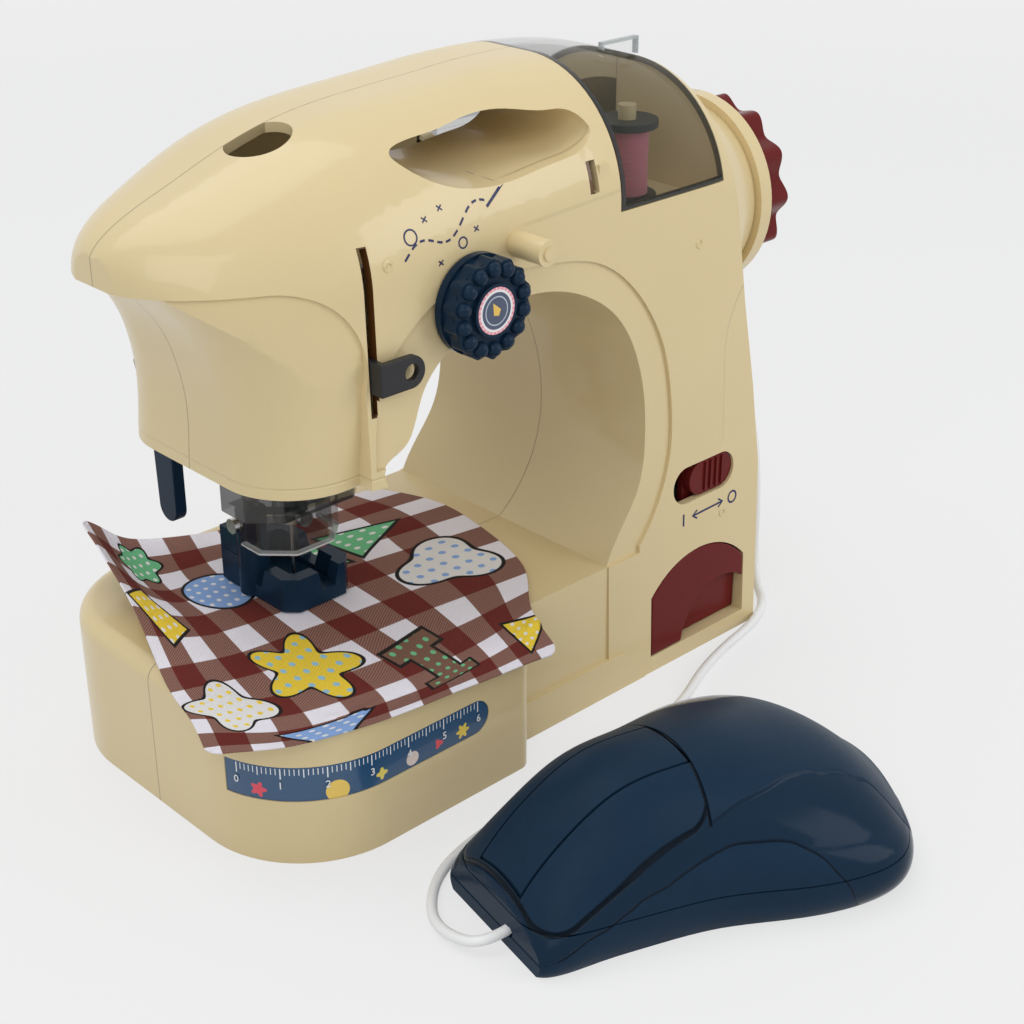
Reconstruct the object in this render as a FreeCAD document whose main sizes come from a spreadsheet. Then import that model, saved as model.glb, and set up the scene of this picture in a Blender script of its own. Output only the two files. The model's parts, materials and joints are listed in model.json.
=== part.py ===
import FreeCAD, Part
import Sketcher
import math
import os
import re
from FreeCAD import Placement, Rotation, Vector

# Toy sewing machine with its foot pedal.
# Frame: +X along the machine towards the handwheel, -Y is the front, +Z is up.
# The origin is the centre of the flat underside.  All lengths are in millimetres.

doc = FreeCAD.newDocument("toy_sewing_machine")
sheet = doc.addObject("Spreadsheet::Sheet", "Sizes")

SIZES = {
    # Whole body
    "body_length": 160.0,
    "body_height": 150.0,
    "arm_half": 35.0,
    "foot_half": 38.4,
    "wall": 2.0,
    "overrun": 5.0,
    "lip_step": 0.7,
    "seat_gap": 0.3,
    "bore_gap": 0.06,
    "bed_height": 35.0,
    "lip_height": 121.5,
    "head_bottom": 77.0,
    "band_depth": 0.8,
    "nose_start": -30.0,
    "nose_length": 54.0,
    "arm_corner": 29.0,
    "collar_end": 93.9,
    "collar_radius": 22.9,
    "collar_lip": 2.0,
    "drive_height": 105.6,
    # Table block round the bed
    "table_half": 47.0,
    "table_left": -80.3,
    "table_right": -9.5,
    "table_corner": 27.0,
    "table_edge": 4.0,
    # Handle, lid and spool room
    "handle_depth": 3.0,
    "lid_left": 28.0,
    "lid_right": 63.0,
    "lid_sill": 120.5,
    "lid_wall": 1.4,
    "hinge_y": 37.0,
    "hinge_z": 120.8,
    "knuckle_radius": 2.4,
    "knuckle_width": 3.5,
    "room_floor": 116.0,
    "room_front": -31.6,
    "lid_pin_radius": 1.2,
    "lid_tab_width": 12.0,
    "lid_tab_height": 2.6,
    "spool_place": 46.0,
    "spool_front": -19.4,
    "spool_radius": 7.2,
    "spool_height": 19.0,
    "spool_flange": 1.8,
    "spool_core": 3.4,
    "thread_radius": 5.2,
    "post_radius": 2.1,
    "post_top": 3.5,
    # Shafts
    "shaft_radius": 2.0,
    "shaft_left": -26.0,
    "bush_length": 7.0,
    "bush_radius": 5.0,
    "wheel_radius": 22.4,
    "wheel_thickness": 9.0,
    "wheel_lobe": 2.6,
    "gear_radius": 14.0,
    "gear_width": 4.0,
    "gear_place": 71.0,
    "pinion_radius": 4.25,
    "tooth_depth": 1.5,
    "motor_radius": 10.0,
    "motor_length": 22.0,
    "motor_shaft_radius": 1.0,
    "pulley_radius": 8.0,
    "pulley_width": 3.6,
    "pulley_place": 65.4,
    "belt_thickness": 1.2,
    "lower_height": 26.0,
    "hook_radius": 6.5,
    # Needle, presser and their guide
    "needle_place": -40.0,
    "needle_bar_radius": 2.2,
    "needle_bar_top": 124.0,
    "needle_bar_bottom": 60.0,
    "needle_radius": 0.5,
    "needle_tip": 38.5,
    "needle_up": 10.2,
    "needle_down": 4.7,
    "crank_throw": 7.5,
    "crank_radius": 10.5,
    "crank_width": 4.0,
    "crank_pin_radius": 1.8,
    "yoke_thickness": 3.0,
    "yoke_height": 8.0,
    "yoke_width": 22.0,
    "tab_length": 11.5,
    "tab_height": 7.0,
    "tab_thickness": 1.6,
    "tab_place": 101.5,
    "presser_place": -44.0,
    "presser_setback": 9.5,
    "presser_radius": 2.0,
    "presser_top": 112.0,
    "presser_lift": 5.0,
    "foot_top": 50.0,
    "foot_length": 31.0,
    "foot_width": 27.0,
    "foot_sole": 2.0,
    "cloth_thickness": 0.8,
    "lever_thickness": 3.0,
    "lever_width": 7.0,
    "lever_length": 38.0,
    "lever_place": -47.5,
    "lower_radius": 1.6,
    "hook_place": -38.8,
    "hook_width": 5.0,
    "tray_wall": 1.6,
    "contact_sheet": 0.5,
    # Front controls
    "knob_place": -16.3,
    "knob_height": 110.9,
    "knob_radius": 10.8,
    "knob_face": 42.4,
    "knob_lobe": 1.5,
    "peg_place": -3.7,
    "peg_height": 120.6,
    "peg_radius": 2.8,
    "peg_reach": 44.5,
    "switch_place": 58.0,
    "switch_height": 47.3,
    "switch_length": 22.5,
    "switch_opening": 9.6,
    "switch_travel": 6.0,
    "slider_length": 15.6,
    "screw_radius": 1.5,
    "screw_head": 2.8,
    "boss_radius": 4.4,
    "knob_stem": 3.0,
    "slot_place": -42.6,
    "slot_width": 2.0,
    "slot_bottom": 93.0,
    "slot_top": 127.5,
    "leaf_left": -50.8,
    "leaf_right": -40.6,
    "leaf_depth": 11.7,
    "slit_place": 19.6,
    "slit_width": 1.8,
    "slit_low": 126.3,
    "slit_height": 6.8,
    "label_low": 15.8,
    "label_high": 24.4,
    "label_right": -23.5,
    "label_back": -26.0,
    "label_depth": 0.5,
    "plinth_right": 37.0,
    "plinth_height": 10.0,
    "plinth_proud": 1.0,
    # Needle plate and presser lifter
    "plate_length": 30.0,
    "plate_width": 46.0,
    "plate_thickness": 1.2,
    "lifter_y": 36.0,
    "lifter_z": 84.0,
    "lifter_pin": 1.0,
    "cam_radius": 4.0,
    "cam_slack": 0.7,
    "link_height": 3.0,
    "ear_width": 1.8,
    "ear_radius": 3.2,
    # Drawer
    "drawer_left": 39.4,
    "drawer_right": 74.0,
    "drawer_bottom": 4.7,
    "drawer_side": 20.5,
    "drawer_crown": 28.5,
    "drawer_back": -13.0,
    "drawer_wall": 1.6,
    "drawer_travel": 20.0,
    # Underside and batteries
    "floor_plate": 2.0,
    "spring_wire": 0.6,
    "bay_left": -24.4,
    "bay_right": 34.6,
    "bay_half": 29.0,
    "cell_radius": 7.1,
    "cell_length": 50.0,
    # Pedal and its lead
    "pedal_x": -57.2,
    "pedal_y": -84.2,
    "pedal_turn": -11.6,
    "pedal_length": 96.4,
    "pedal_height": 31.6,
    "pedal_half": 35.2,
    "pedal_wall": 2.0,
    "pedal_part": 9.0,
    "button_gap": 0.5,
    "button_length": 39.8,
    "button_front": 2.0,
    "button_half": 7.2,
    "button_dip": 2.5,
    "lead_radius": 1.15,
    "jack_x": 76.9,
    "jack_y": 16.0,
    "jack_height": 60.0,
    "plug_radius": 3.4,
    "plug_length": 9.0,
    "relief_length": 6.0,
    "relief_radius": 2.1,
}

for row, (name, value) in enumerate(SIZES.items(), start=1):
    cell = "A%d" % row
    sheet.set(cell, str(value))
    sheet.setAlias(cell, name)
doc.recompute()


class Read:
    """Sizes as the sheet holds them, by name."""

    def __getattr__(self, name):
        return float(sheet.get(name))


at = Read()
NODES = []


def bound(text):
    """An expression in the sheet's names, as the document wants it."""
    return re.sub(r"[a-z][a-z_]+", lambda word: "Sizes." + word.group(0)
                  if word.group(0) in SIZES else word.group(0), text)


def bind(item, **expressions):
    for prop, text in expressions.items():
        item.setExpression(prop, bound(text))
    return item


def place(item, where, turn=None):
    """Set a piece's turn, and bind its base to three expressions."""
    if turn:
        item.Placement = Placement(Vector(), turn)
    for letter, text in zip("xyz", where):
        item.setExpression("Placement.Base." + letter, bound(text))
    return item


TURNS = {
    "X": Rotation(Vector(0, 1, 0), 90),
    "Y": Rotation(Vector(1, 0, 0), -90),
    "-Y": Rotation(Vector(1, 0, 0), 90),
    "Z": None,
}


def rod(name, radius, length, where, along="Z"):
    item = doc.addObject("Part::Cylinder", name)
    bind(item, Radius=radius, Height=length)
    return place(item, where, TURNS[along])


def block(name, length, width, height, where):
    item = doc.addObject("Part::Box", name)
    bind(item, Length=length, Width=width, Height=height)
    return place(item, where)


def cone(name, start, end, length, where, along="Z"):
    item = doc.addObject("Part::Cone", name)
    bind(item, Radius1=start, Radius2=end, Height=length)
    return place(item, where, TURNS[along])


def less(name, base, *tools):
    """Base with every tool cut away."""
    tool = tools[0]
    if len(tools) > 1:
        tool = doc.addObject("Part::MultiFuse", name + "_cuts")
        tool.Shapes = list(tools)
    item = doc.addObject("Part::Cut", name)
    item.Base = base
    item.Tool = tool
    return item


def joined(name, *pieces):
    item = doc.addObject("Part::MultiFuse", name)
    item.Shapes = list(pieces)
    return item


def node(item, label):
    """Register a finished sub-part under its own label."""
    item.Label = label
    NODES.append(item)
    return item


def solid(label, shape):
    """A moulded sub-part whose shape is made by a function below."""
    item = doc.addObject("Part::Feature", label + "_form")
    item.Shape = shape
    return node(item, label)


def plane_of(body, role):
    for feature in body.Origin.OriginFeatures:
        if feature.Role == role:
            return feature
    raise ValueError(role)


def corner_sketch(body, role, corners):
    """A closed outline of straight lines, each corner bound to two expressions."""
    sketch = body.newObject("Sketcher::SketchObject", body.Name + "_outline")
    sketch.AttachmentSupport = [(plane_of(body, role), "")]
    sketch.MapMode = "FlatFace"
    count = len(corners)
    ring = [Vector(math.cos(2 * math.pi * k / count), math.sin(2 * math.pi * k / count), 0)
            for k in range(count)]
    for k in range(count):
        sketch.addGeometry(Part.LineSegment(ring[k], ring[(k + 1) % count]), False)
    for k in range(count):
        sketch.addConstraint(Sketcher.Constraint("Coincident", k, 2, (k + 1) % count, 1))
    for k, pair in enumerate(corners):
        for kind, text, start in zip(("DistanceX", "DistanceY"), pair, ring[k]):
            index = sketch.addConstraint(Sketcher.Constraint(kind, -1, 1, k, 1, start))
            sketch.setExpression("Constraints[%d]" % index, bound(text))
    return sketch


def turned(label, corners, where, along):
    """A lathe-turned piece: corners are (along the axis, from the axis)."""
    body = doc.addObject("PartDesign::Body", label + "_body")
    sketch = corner_sketch(body, "XY_Plane", corners)
    spin = body.newObject("PartDesign::Revolution", label + "_turn")
    spin.Profile = sketch
    spin.ReferenceAxis = (sketch, ["H_Axis"])
    spin.Angle = 360
    turn = {"X": Rotation(), "Z": Rotation(Vector(0, 1, 0), -90),
            "-Y": Rotation(Vector(0, 0, 1), -90), "Y": Rotation(Vector(0, 0, 1), 90)}[along]
    place(body, where, turn)
    return node(body, label)


# Outlines as shares of the body's length and height

def spot(x_share, z_share, y=0.0):
    """A point of the side outline, given in shares of the body's length and height."""
    return Vector(x_share * at.body_length, y, z_share * at.body_height)


def face_prism(points, depth, start):
    """A solid from a closed outline of points or edges, drawn out along Y from start."""
    wire = Part.Wire(Part.sortEdges(points)[0])
    wire.translate(Vector(0, start, 0))
    return Part.Face(wire).extrude(Vector(0, depth, 0))


def polyline(points):
    return [Part.LineSegment(a, b).toShape() for a, b in zip(points, points[1:])]


def curve(points):
    spline = Part.BSplineCurve()
    spline.interpolate(points)
    return spline.toShape()


def bow(start, middle, end):
    return Part.Arc(start, middle, end).toShape()


# Crown of the arm: how far along the nose each station lies, and its height share
NOSE_SHARES = ((0.985, 0.850), (0.94, 0.868), (0.86, 0.886), (0.74, 0.905),
               (0.58, 0.927), (0.34, 0.959))
# Crown of the arm behind the nose: length share and height share
CROWN_SHARES = ((-0.1875, 0.985), (0.0, 1.0), (0.175, 1.006), (0.30, 0.993),
                (0.394, 0.965), (0.50, 0.91))


def loaf_section(x, half, top, inset):
    """Cross-section of the housing at x: drafted sides and a rounded top."""
    half = half - inset
    top = top - inset
    corner = min(at.arm_corner, half * at.arm_corner / at.arm_half)
    flare = (at.foot_half - at.arm_half) * (top + at.overrun) / (top - corner)
    low = -at.overrun
    diagonal = corner * (1 - math.sqrt(0.5))
    a = Vector(x, -half - flare, low)
    b = Vector(x, -half, top - corner)
    c = Vector(x, -half + diagonal, top - diagonal)
    d = Vector(x, -half + corner, top)
    e, f, g, k = (Vector(p.x, -p.y, p.z) for p in (d, c, b, a))
    edges = [Part.LineSegment(a, b), Part.Arc(b, c, d), Part.LineSegment(d, e),
             Part.Arc(e, f, g), Part.LineSegment(g, k), Part.LineSegment(k, a)]
    return Part.Wire([edge.toShape() for edge in edges])


def loaf(inset):
    """Top, nose and sides of the head, arm and column."""
    sections = []
    for along_share, height_share in NOSE_SHARES:
        x = at.nose_start - at.nose_length * along_share + inset * along_share
        half = at.arm_half * math.sqrt(1 - along_share ** 2)
        sections.append(loaf_section(x, max(half, 2 * inset), height_share * at.body_height, inset))
    for length_share, height_share in CROWN_SHARES:
        sections.append(loaf_section(length_share * at.body_length, at.arm_half,
                                     height_share * at.body_height, inset))
    return Part.makeLoft(sections, True, False)


# Right flank of the column, from the floor up to the lid
FLANK_SHARES = ((0.494, 0.0), (0.494, 0.30), (0.475, 0.447), (0.45, 0.593),
                (0.431, 0.733), (0.4125, 0.833), (0.402, 0.95))


def side_prism(inset):
    """What the side view keeps: nose above the lip, head's right slab, column."""
    far = -body_reach()
    top = at.body_height + at.overrun
    lip = at.lip_height + inset
    ridge_x, ridge_z = -0.278 * at.body_length, 0.655 * at.body_height
    start_x = -0.385 * at.body_length
    inner = 0.15 * at.body_length
    flank = [spot(sx, sz) - Vector(inset, 0, 0) for sx, sz in FLANK_SHARES]
    edges = [
        Part.LineSegment(Vector(far, 0, top), Vector(far, 0, lip)).toShape(),
        Part.LineSegment(Vector(far, 0, lip), Vector(start_x, 0, lip)).toShape(),
        bow(Vector(start_x, 0, lip), Vector(ridge_x - 0.022 * at.body_length + inset,
            0, lip - 0.045 * at.body_height), Vector(ridge_x + inset, 0, ridge_z)),
    ]
    edges += polyline([Vector(ridge_x + inset, 0, ridge_z),
                       Vector(ridge_x + inset, 0, at.head_bottom),
                       Vector(inner, 0, at.head_bottom), Vector(inner, 0, 0), flank[0]])
    edges += polyline(flank)
    edges += polyline([flank[-1], Vector(flank[-1].x, 0, top), Vector(far, 0, top)])
    return face_prism(edges, 2 * at.table_half, -at.table_half)


def body_reach():
    return at.body_length * 0.6


# Barrel of the head, at heights between its rim and the lip: height share of the
# barrel, left edge as a share of the body's length, half width as a share of the arm's
BARREL_SHARES = ((0.0, -0.407, 0.886), (0.17, -0.4035, 0.905), (0.36, -0.4035, 0.925),
                 (0.55, -0.413, 0.94), (0.70, -0.4275, 0.952), (0.86, -0.456, 0.962),
                 (1.0, -0.488, 0.97))


def round_box(left, right, half, corner, z):
    """A rectangle with round corners in the plane at z, as a wire of eight edges."""
    k = corner * (1 - math.sqrt(0.5))
    corners = []
    for x, y, dx, dy in ((left, -half, 1, 1), (right, -half, -1, 1),
                         (right, half, -1, -1), (left, half, 1, -1)):
        corners.append((Vector(x, y + dy * corner, z), Vector(x + dx * k, y + dy * k, z),
                        Vector(x + dx * corner, y, z)))
    edges = []
    for index, (side, middle, end) in enumerate(corners):
        if index % 2:
            side, end = end, side
        edges.append(bow(side, middle, end))
        following = corners[(index + 1) % 4]
        nxt = following[0] if (index + 1) % 2 == 0 else following[2]
        edges.append(Part.LineSegment(end, nxt).toShape())
    return Part.Wire(edges)


def barrel(inset):
    """Lower part of the head, narrowing from the lip to the rim."""
    sections = []
    height = at.lip_height - at.head_bottom
    for height_share, left_share, half_share in BARREL_SHARES:
        left = left_share * at.body_length + inset
        half = half_share * at.arm_half - inset
        right = -0.15 * at.body_length
        corner = (0.48 + 0.2 * height_share) * at.arm_half - inset
        sections.append(round_box(left, right, half, corner,
                                  at.head_bottom + height * height_share + inset * height_share))
    return Part.makeLoft(sections, True, False)


# Throat: outline at the front face and at the middle seam, from the head's rim
# over the arch to the bed
THROAT_FRONT_SHARES = ((-0.270, 0.548), (-0.2306, 0.566), (-0.212, 0.595), (-0.196, 0.645),
                       (-0.1575, 0.690), (-0.075, 0.728), (0.0, 0.737), (0.095, 0.709),
                       (0.178, 0.641), (0.226, 0.525), (0.231, 0.429), (0.215, 0.343),
                       (0.175, 0.283))
THROAT_SEAM_SHARES = ((-0.195, 0.53), (-0.187, 0.553), (-0.175, 0.58), (-0.155, 0.605),
                      (-0.12, 0.630), (-0.06, 0.658), (0.01, 0.672), (0.10, 0.665),
                      (0.17, 0.63), (0.22, 0.545), (0.241, 0.44), (0.228, 0.34),
                      (0.18, 0.26))
# Outer line of the sunk band round the throat, from the head over the arch to the bed
BAND_SHARES = ((-0.270, 0.54), (-0.267, 0.60), (-0.258, 0.648), (-0.239, 0.691),
               (-0.209, 0.725), (-0.174, 0.751), (-0.09, 0.770), (0.001, 0.763),
               (0.063, 0.756), (0.129, 0.738), (0.181, 0.703), (0.231, 0.643),
               (0.267, 0.569), (0.284, 0.48), (0.285, 0.395), (0.2625, 0.315),
               (0.217, 0.246))


def throat_wire(share, y, grow):
    """Throat outline between the seam (share 0) and the front face (share 1)."""
    points = []
    for front, seam in zip(THROAT_FRONT_SHARES, THROAT_SEAM_SHARES):
        x_share = seam[0] + (front[0] - seam[0]) * share
        z_share = seam[1] + (front[1] - seam[1]) * share
        points.append(spot(x_share, z_share, y))
    centre = spot(0.0, 0.42, y)
    points = [p + (p - centre).normalize() * grow for p in points]
    far = -body_reach()
    head = at.head_bottom + grow
    low = at.bed_height - at.overrun
    rim = Vector(points[0].x, y, head)
    foot = Vector(0.15 * at.body_length + grow, y, low)
    edges = [curve([rim] + points + [Vector(foot.x, y, at.bed_height)])]
    edges += polyline([Vector(foot.x, y, at.bed_height), foot, Vector(far, y, low),
                       Vector(far, y, head), rim])
    return Part.Wire(edges)


def throat(grow):
    """The open throat with its scooped sides, narrowest at the seam."""
    front = at.foot_half + at.overrun
    steps = ((0.0, 0.0), (0.4, 0.20), (0.72, 0.62), (1.0, 1.1))
    wires = [throat_wire(share, -front * depth_share, grow) for depth_share, share in steps]
    half = Part.makeLoft(wires, True, False)
    other = half.mirror(Vector(), Vector(0, 1, 0))
    return half, other


def bulk(inset):
    """Arm, column and head before the throat is cut."""
    upper = loaf(inset).common(side_prism(inset))
    return upper.fuse(barrel(inset).common(loaf(inset + at.lip_step)))


def throat_band():
    """Thin skin round the throat, sunk below the front and back faces."""
    line = [spot(x_share, z_share) for x_share, z_share in BAND_SHARES]
    first, last = line[0], line[-1]
    low = at.bed_height
    close = polyline([last, Vector(last.x, 0, low), Vector(0, 0, low), Vector(0, 0, first.z),
                      first])
    around = face_prism([curve(line)] + close, 2 * at.table_half, -at.table_half)
    return around.cut(bulk(at.band_depth))


def bed(inset):
    """Bed between the table block and the column, drafted like the column."""
    half_top = at.foot_half - (at.foot_half - at.arm_half) * at.bed_height / at.body_height
    top = at.bed_height - inset
    right = 0.2 * at.body_length
    left = at.table_right - at.overrun
    points = [Vector(left, -at.foot_half + inset, 0), Vector(left, at.foot_half - inset, 0),
              Vector(left, half_top - inset, top), Vector(left, -half_top + inset, top),
              Vector(left, -at.foot_half + inset, 0)]
    return Part.Face(Part.Wire(polyline(points))).extrude(Vector(right - left, 0, 0))


def table(inset):
    """Wide table block under the needle, round at its free end."""
    left = at.table_left + inset
    right = at.table_right - inset
    half = at.table_half - inset
    corner = at.table_corner - inset
    small = at.table_edge
    k, m = corner * (1 - math.sqrt(0.5)), small * (1 - math.sqrt(0.5))
    edges = [
        bow(Vector(left, -half + corner, 0), Vector(left + k, -half + k, 0),
            Vector(left + corner, -half, 0)),
        Part.LineSegment(Vector(left + corner, -half, 0), Vector(right - small, -half, 0)).toShape(),
        bow(Vector(right - small, -half, 0), Vector(right - m, -half + m, 0),
            Vector(right, -half + small, 0)),
        Part.LineSegment(Vector(right, -half + small, 0), Vector(right, half - small, 0)).toShape(),
        bow(Vector(right, half - small, 0), Vector(right - m, half - m, 0),
            Vector(right - small, half, 0)),
        Part.LineSegment(Vector(right - small, half, 0), Vector(left + corner, half, 0)).toShape(),
        bow(Vector(left + corner, half, 0), Vector(left + k, half - k, 0),
            Vector(left, half - corner, 0)),
        Part.LineSegment(Vector(left, half - corner, 0), Vector(left, -half + corner, 0)).toShape(),
    ]
    shape = Part.Face(Part.Wire(edges)).extrude(Vector(0, 0, at.bed_height - inset))
    if inset:
        return shape
    rim = [edge for edge in shape.Edges
           if min(vertex.Z for vertex in edge.Vertexes) > at.bed_height - 1e-6 * at.bed_height]
    return shape.makeFillet(at.table_edge, rim)


def collar(inset):
    """Round boss that carries the handwheel's shaft."""
    start = 0.39 * at.body_length
    end = at.collar_end - inset
    cone_end = at.collar_end - 2 * at.collar_lip
    boss = Part.makeCone(at.arm_half - inset, at.collar_radius - inset, cone_end - start,
                         Vector(start, 0, at.drive_height), Vector(1, 0, 0))
    lip = Part.makeCylinder(at.collar_radius + (0 if inset else at.collar_lip) - inset,
                            end - cone_end, Vector(cone_end, 0, at.drive_height), Vector(1, 0, 0))
    return boss.fuse(lip)


def housing(inset):
    """Outer form of the whole housing, or the same form set in by a wall."""
    upper = bulk(inset)
    for half in throat(inset):
        upper = upper.cut(half)
    return upper.fuse([collar(inset), bed(inset), table(inset)])


# Handle slot through the arm, and the room under the lid

HANDLE_SHARES = ((-0.170, 0.937), (-0.104, 0.898), (-0.019, 0.889), (0.0625, 0.898),
                 (0.123, 0.911), (0.138, 0.927), (0.130, 0.945), (0.085, 0.957),
                 (0.024, 0.968), (-0.042, 0.967), (-0.102, 0.959))


def handle_slot(grow):
    """Hand hole through the arm, narrower at the seam."""
    centre = spot(-0.01, 0.93)
    wires = []
    for y_share, size_share in ((-1.1, 1.05), (-0.5, 0.96), (0.0, 0.88), (0.5, 0.96), (1.1, 1.05)):
        points = []
        for x_share, z_share in HANDLE_SHARES:
            arm = spot(x_share, z_share) - centre
            reach = arm * size_share + Vector(arm).normalize() * grow
            points.append(centre + reach + Vector(0, y_share * at.arm_half, 0))
        ring = Part.BSplineCurve()
        ring.interpolate(points, PeriodicFlag=True)
        wires.append(Part.Wire([ring.toShape()]))
    return Part.makeLoft(wires, True, False)


def room(grow):
    """Spool room under the lid, open at the top."""
    return Part.makeBox(at.lid_right - at.lid_left + 2 * grow,
                        2 * (grow - at.room_front),
                        at.body_height - at.room_floor + at.overrun + grow,
                        Vector(at.lid_left - grow, at.room_front - grow, at.room_floor - grow))


def lid_cut():
    """What the lid takes out of the housing's top, from its sill to its hinge."""
    return Part.makeBox(at.lid_right - at.lid_left, 2 * at.table_half,
                        at.body_height, Vector(at.lid_left, -at.table_half, at.lid_sill))


def drawer_face(grow):
    """Front outline of the drawer: upright sides under an arched top."""
    left, right = at.drawer_left - grow, at.drawer_right + grow
    low, side, crown = at.drawer_bottom - grow, at.drawer_side + grow, at.drawer_crown + grow
    middle = (left + right) / 2
    return [Part.LineSegment(Vector(left, 0, side), Vector(left, 0, low)).toShape(),
            Part.LineSegment(Vector(left, 0, low), Vector(right, 0, low)).toShape(),
            Part.LineSegment(Vector(right, 0, low), Vector(right, 0, side)).toShape(),
            bow(Vector(right, 0, side), Vector(middle, 0, crown), Vector(left, 0, side))]


def drawer_bay(grow, front, back):
    return face_prism(drawer_face(grow), back - front, front)


# Screw bosses between the two halves: length share and height share
BOSS_SHARES = ((-0.425, 0.10), (-0.39, 0.73), (0.03, 0.80), (0.325, 0.40))


def bosses(radius, front, back):
    rods = []
    for x_share, z_share in BOSS_SHARES:
        foot = spot(x_share, z_share, front)
        rods.append(Part.makeCylinder(radius, back - front, foot, Vector(0, 1, 0)))
    return rods


def stadium(left, right, low, high, front, back):
    """A slot with round ends, cut along Y."""
    r = (high - low) / 2
    z = (high + low) / 2
    edges = [Part.LineSegment(Vector(left + r, 0, low), Vector(right - r, 0, low)).toShape(),
             bow(Vector(right - r, 0, low), Vector(right, 0, z), Vector(right - r, 0, high)),
             Part.LineSegment(Vector(right - r, 0, high), Vector(left + r, 0, high)).toShape(),
             bow(Vector(left + r, 0, high), Vector(left, 0, z), Vector(left + r, 0, low))]
    return face_prism(edges, back - front, front)


def needle_plate_bed(grow):
    """Recess of the needle plate in the bed."""
    half_x, half_y = at.plate_length / 2 + grow, at.plate_width / 2 + grow
    return Part.makeBox(2 * half_x, 2 * half_y, at.plate_thickness + grow + at.overrun,
                        Vector(at.needle_place - half_x, -half_y,
                               at.bed_height - at.plate_thickness - grow))


def whole_shell():
    """Both halves as one hollow body, before what only one half has."""
    cavity = housing(at.wall)
    keep = [handle_slot(1.5 * at.wall), room(at.wall),
            drawer_bay(at.wall + at.seat_gap, -at.table_half, at.drawer_back + at.wall + at.seat_gap)]
    keep += bosses(at.boss_radius, -at.table_half, at.table_half)
    cavity = cavity.cut(keep)
    shell = housing(0.0)
    cuts = [cavity, handle_slot(0.0), room(0.0), lid_cut(), needle_plate_bed(0.0), throat_band()]
    hole = Part.makeCylinder(at.bush_radius + at.bore_gap, 4 * at.wall,
                             Vector(at.collar_end - 3 * at.wall, 0, at.drive_height),
                             Vector(1, 0, 0))
    needle_hole = Part.makeCylinder(2 * at.needle_bar_radius, 2 * at.overrun,
                                    Vector(at.needle_place, 0, at.bed_height - at.overrun))
    bar_way = Part.makeBox(at.needle_place - at.presser_place + 3.5 * at.presser_radius,
                           at.presser_setback + 3.5 * at.presser_radius, 3 * at.wall,
                           Vector(at.presser_place - 1.7 * at.presser_radius,
                                  -1.7 * at.presser_radius, at.head_bottom - at.wall))
    cuts += [hole, needle_hole, bar_way]
    cuts += bosses(at.screw_radius + at.bore_gap, -at.arm_half / 2, at.table_half)
    return shell.cut(cuts)


def half_space(front):
    big = 4 * at.body_length
    y = -big if front else 0.0
    return Part.makeBox(2 * big, big, 2 * big, Vector(-big, y, -big))


def label_skin(grow, shallow, deep):
    """Part of the table's skin between two depths, in the printed rule's outline."""
    r = (at.label_high - at.label_low) / 2 + grow
    middle = (at.label_high + at.label_low) / 2
    reach = at.label_back + at.table_half + at.overrun
    band = Part.makeBox(at.label_right - r - at.table_left + at.overrun, reach, 2 * r,
                        Vector(at.table_left - at.overrun, -at.table_half - at.overrun, middle - r))
    end = Part.makeCylinder(r, reach, Vector(at.label_right - r, -at.table_half - at.overrun,
                                             middle), Vector(0, 1, 0))
    core = table(deep).common(Part.makeBox(
        at.body_length, 2 * at.body_length, at.label_high + at.overrun,
        Vector(-at.body_length, -at.body_length, 0)))
    return table(shallow).cut(core).common(band.fuse(end))


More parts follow.
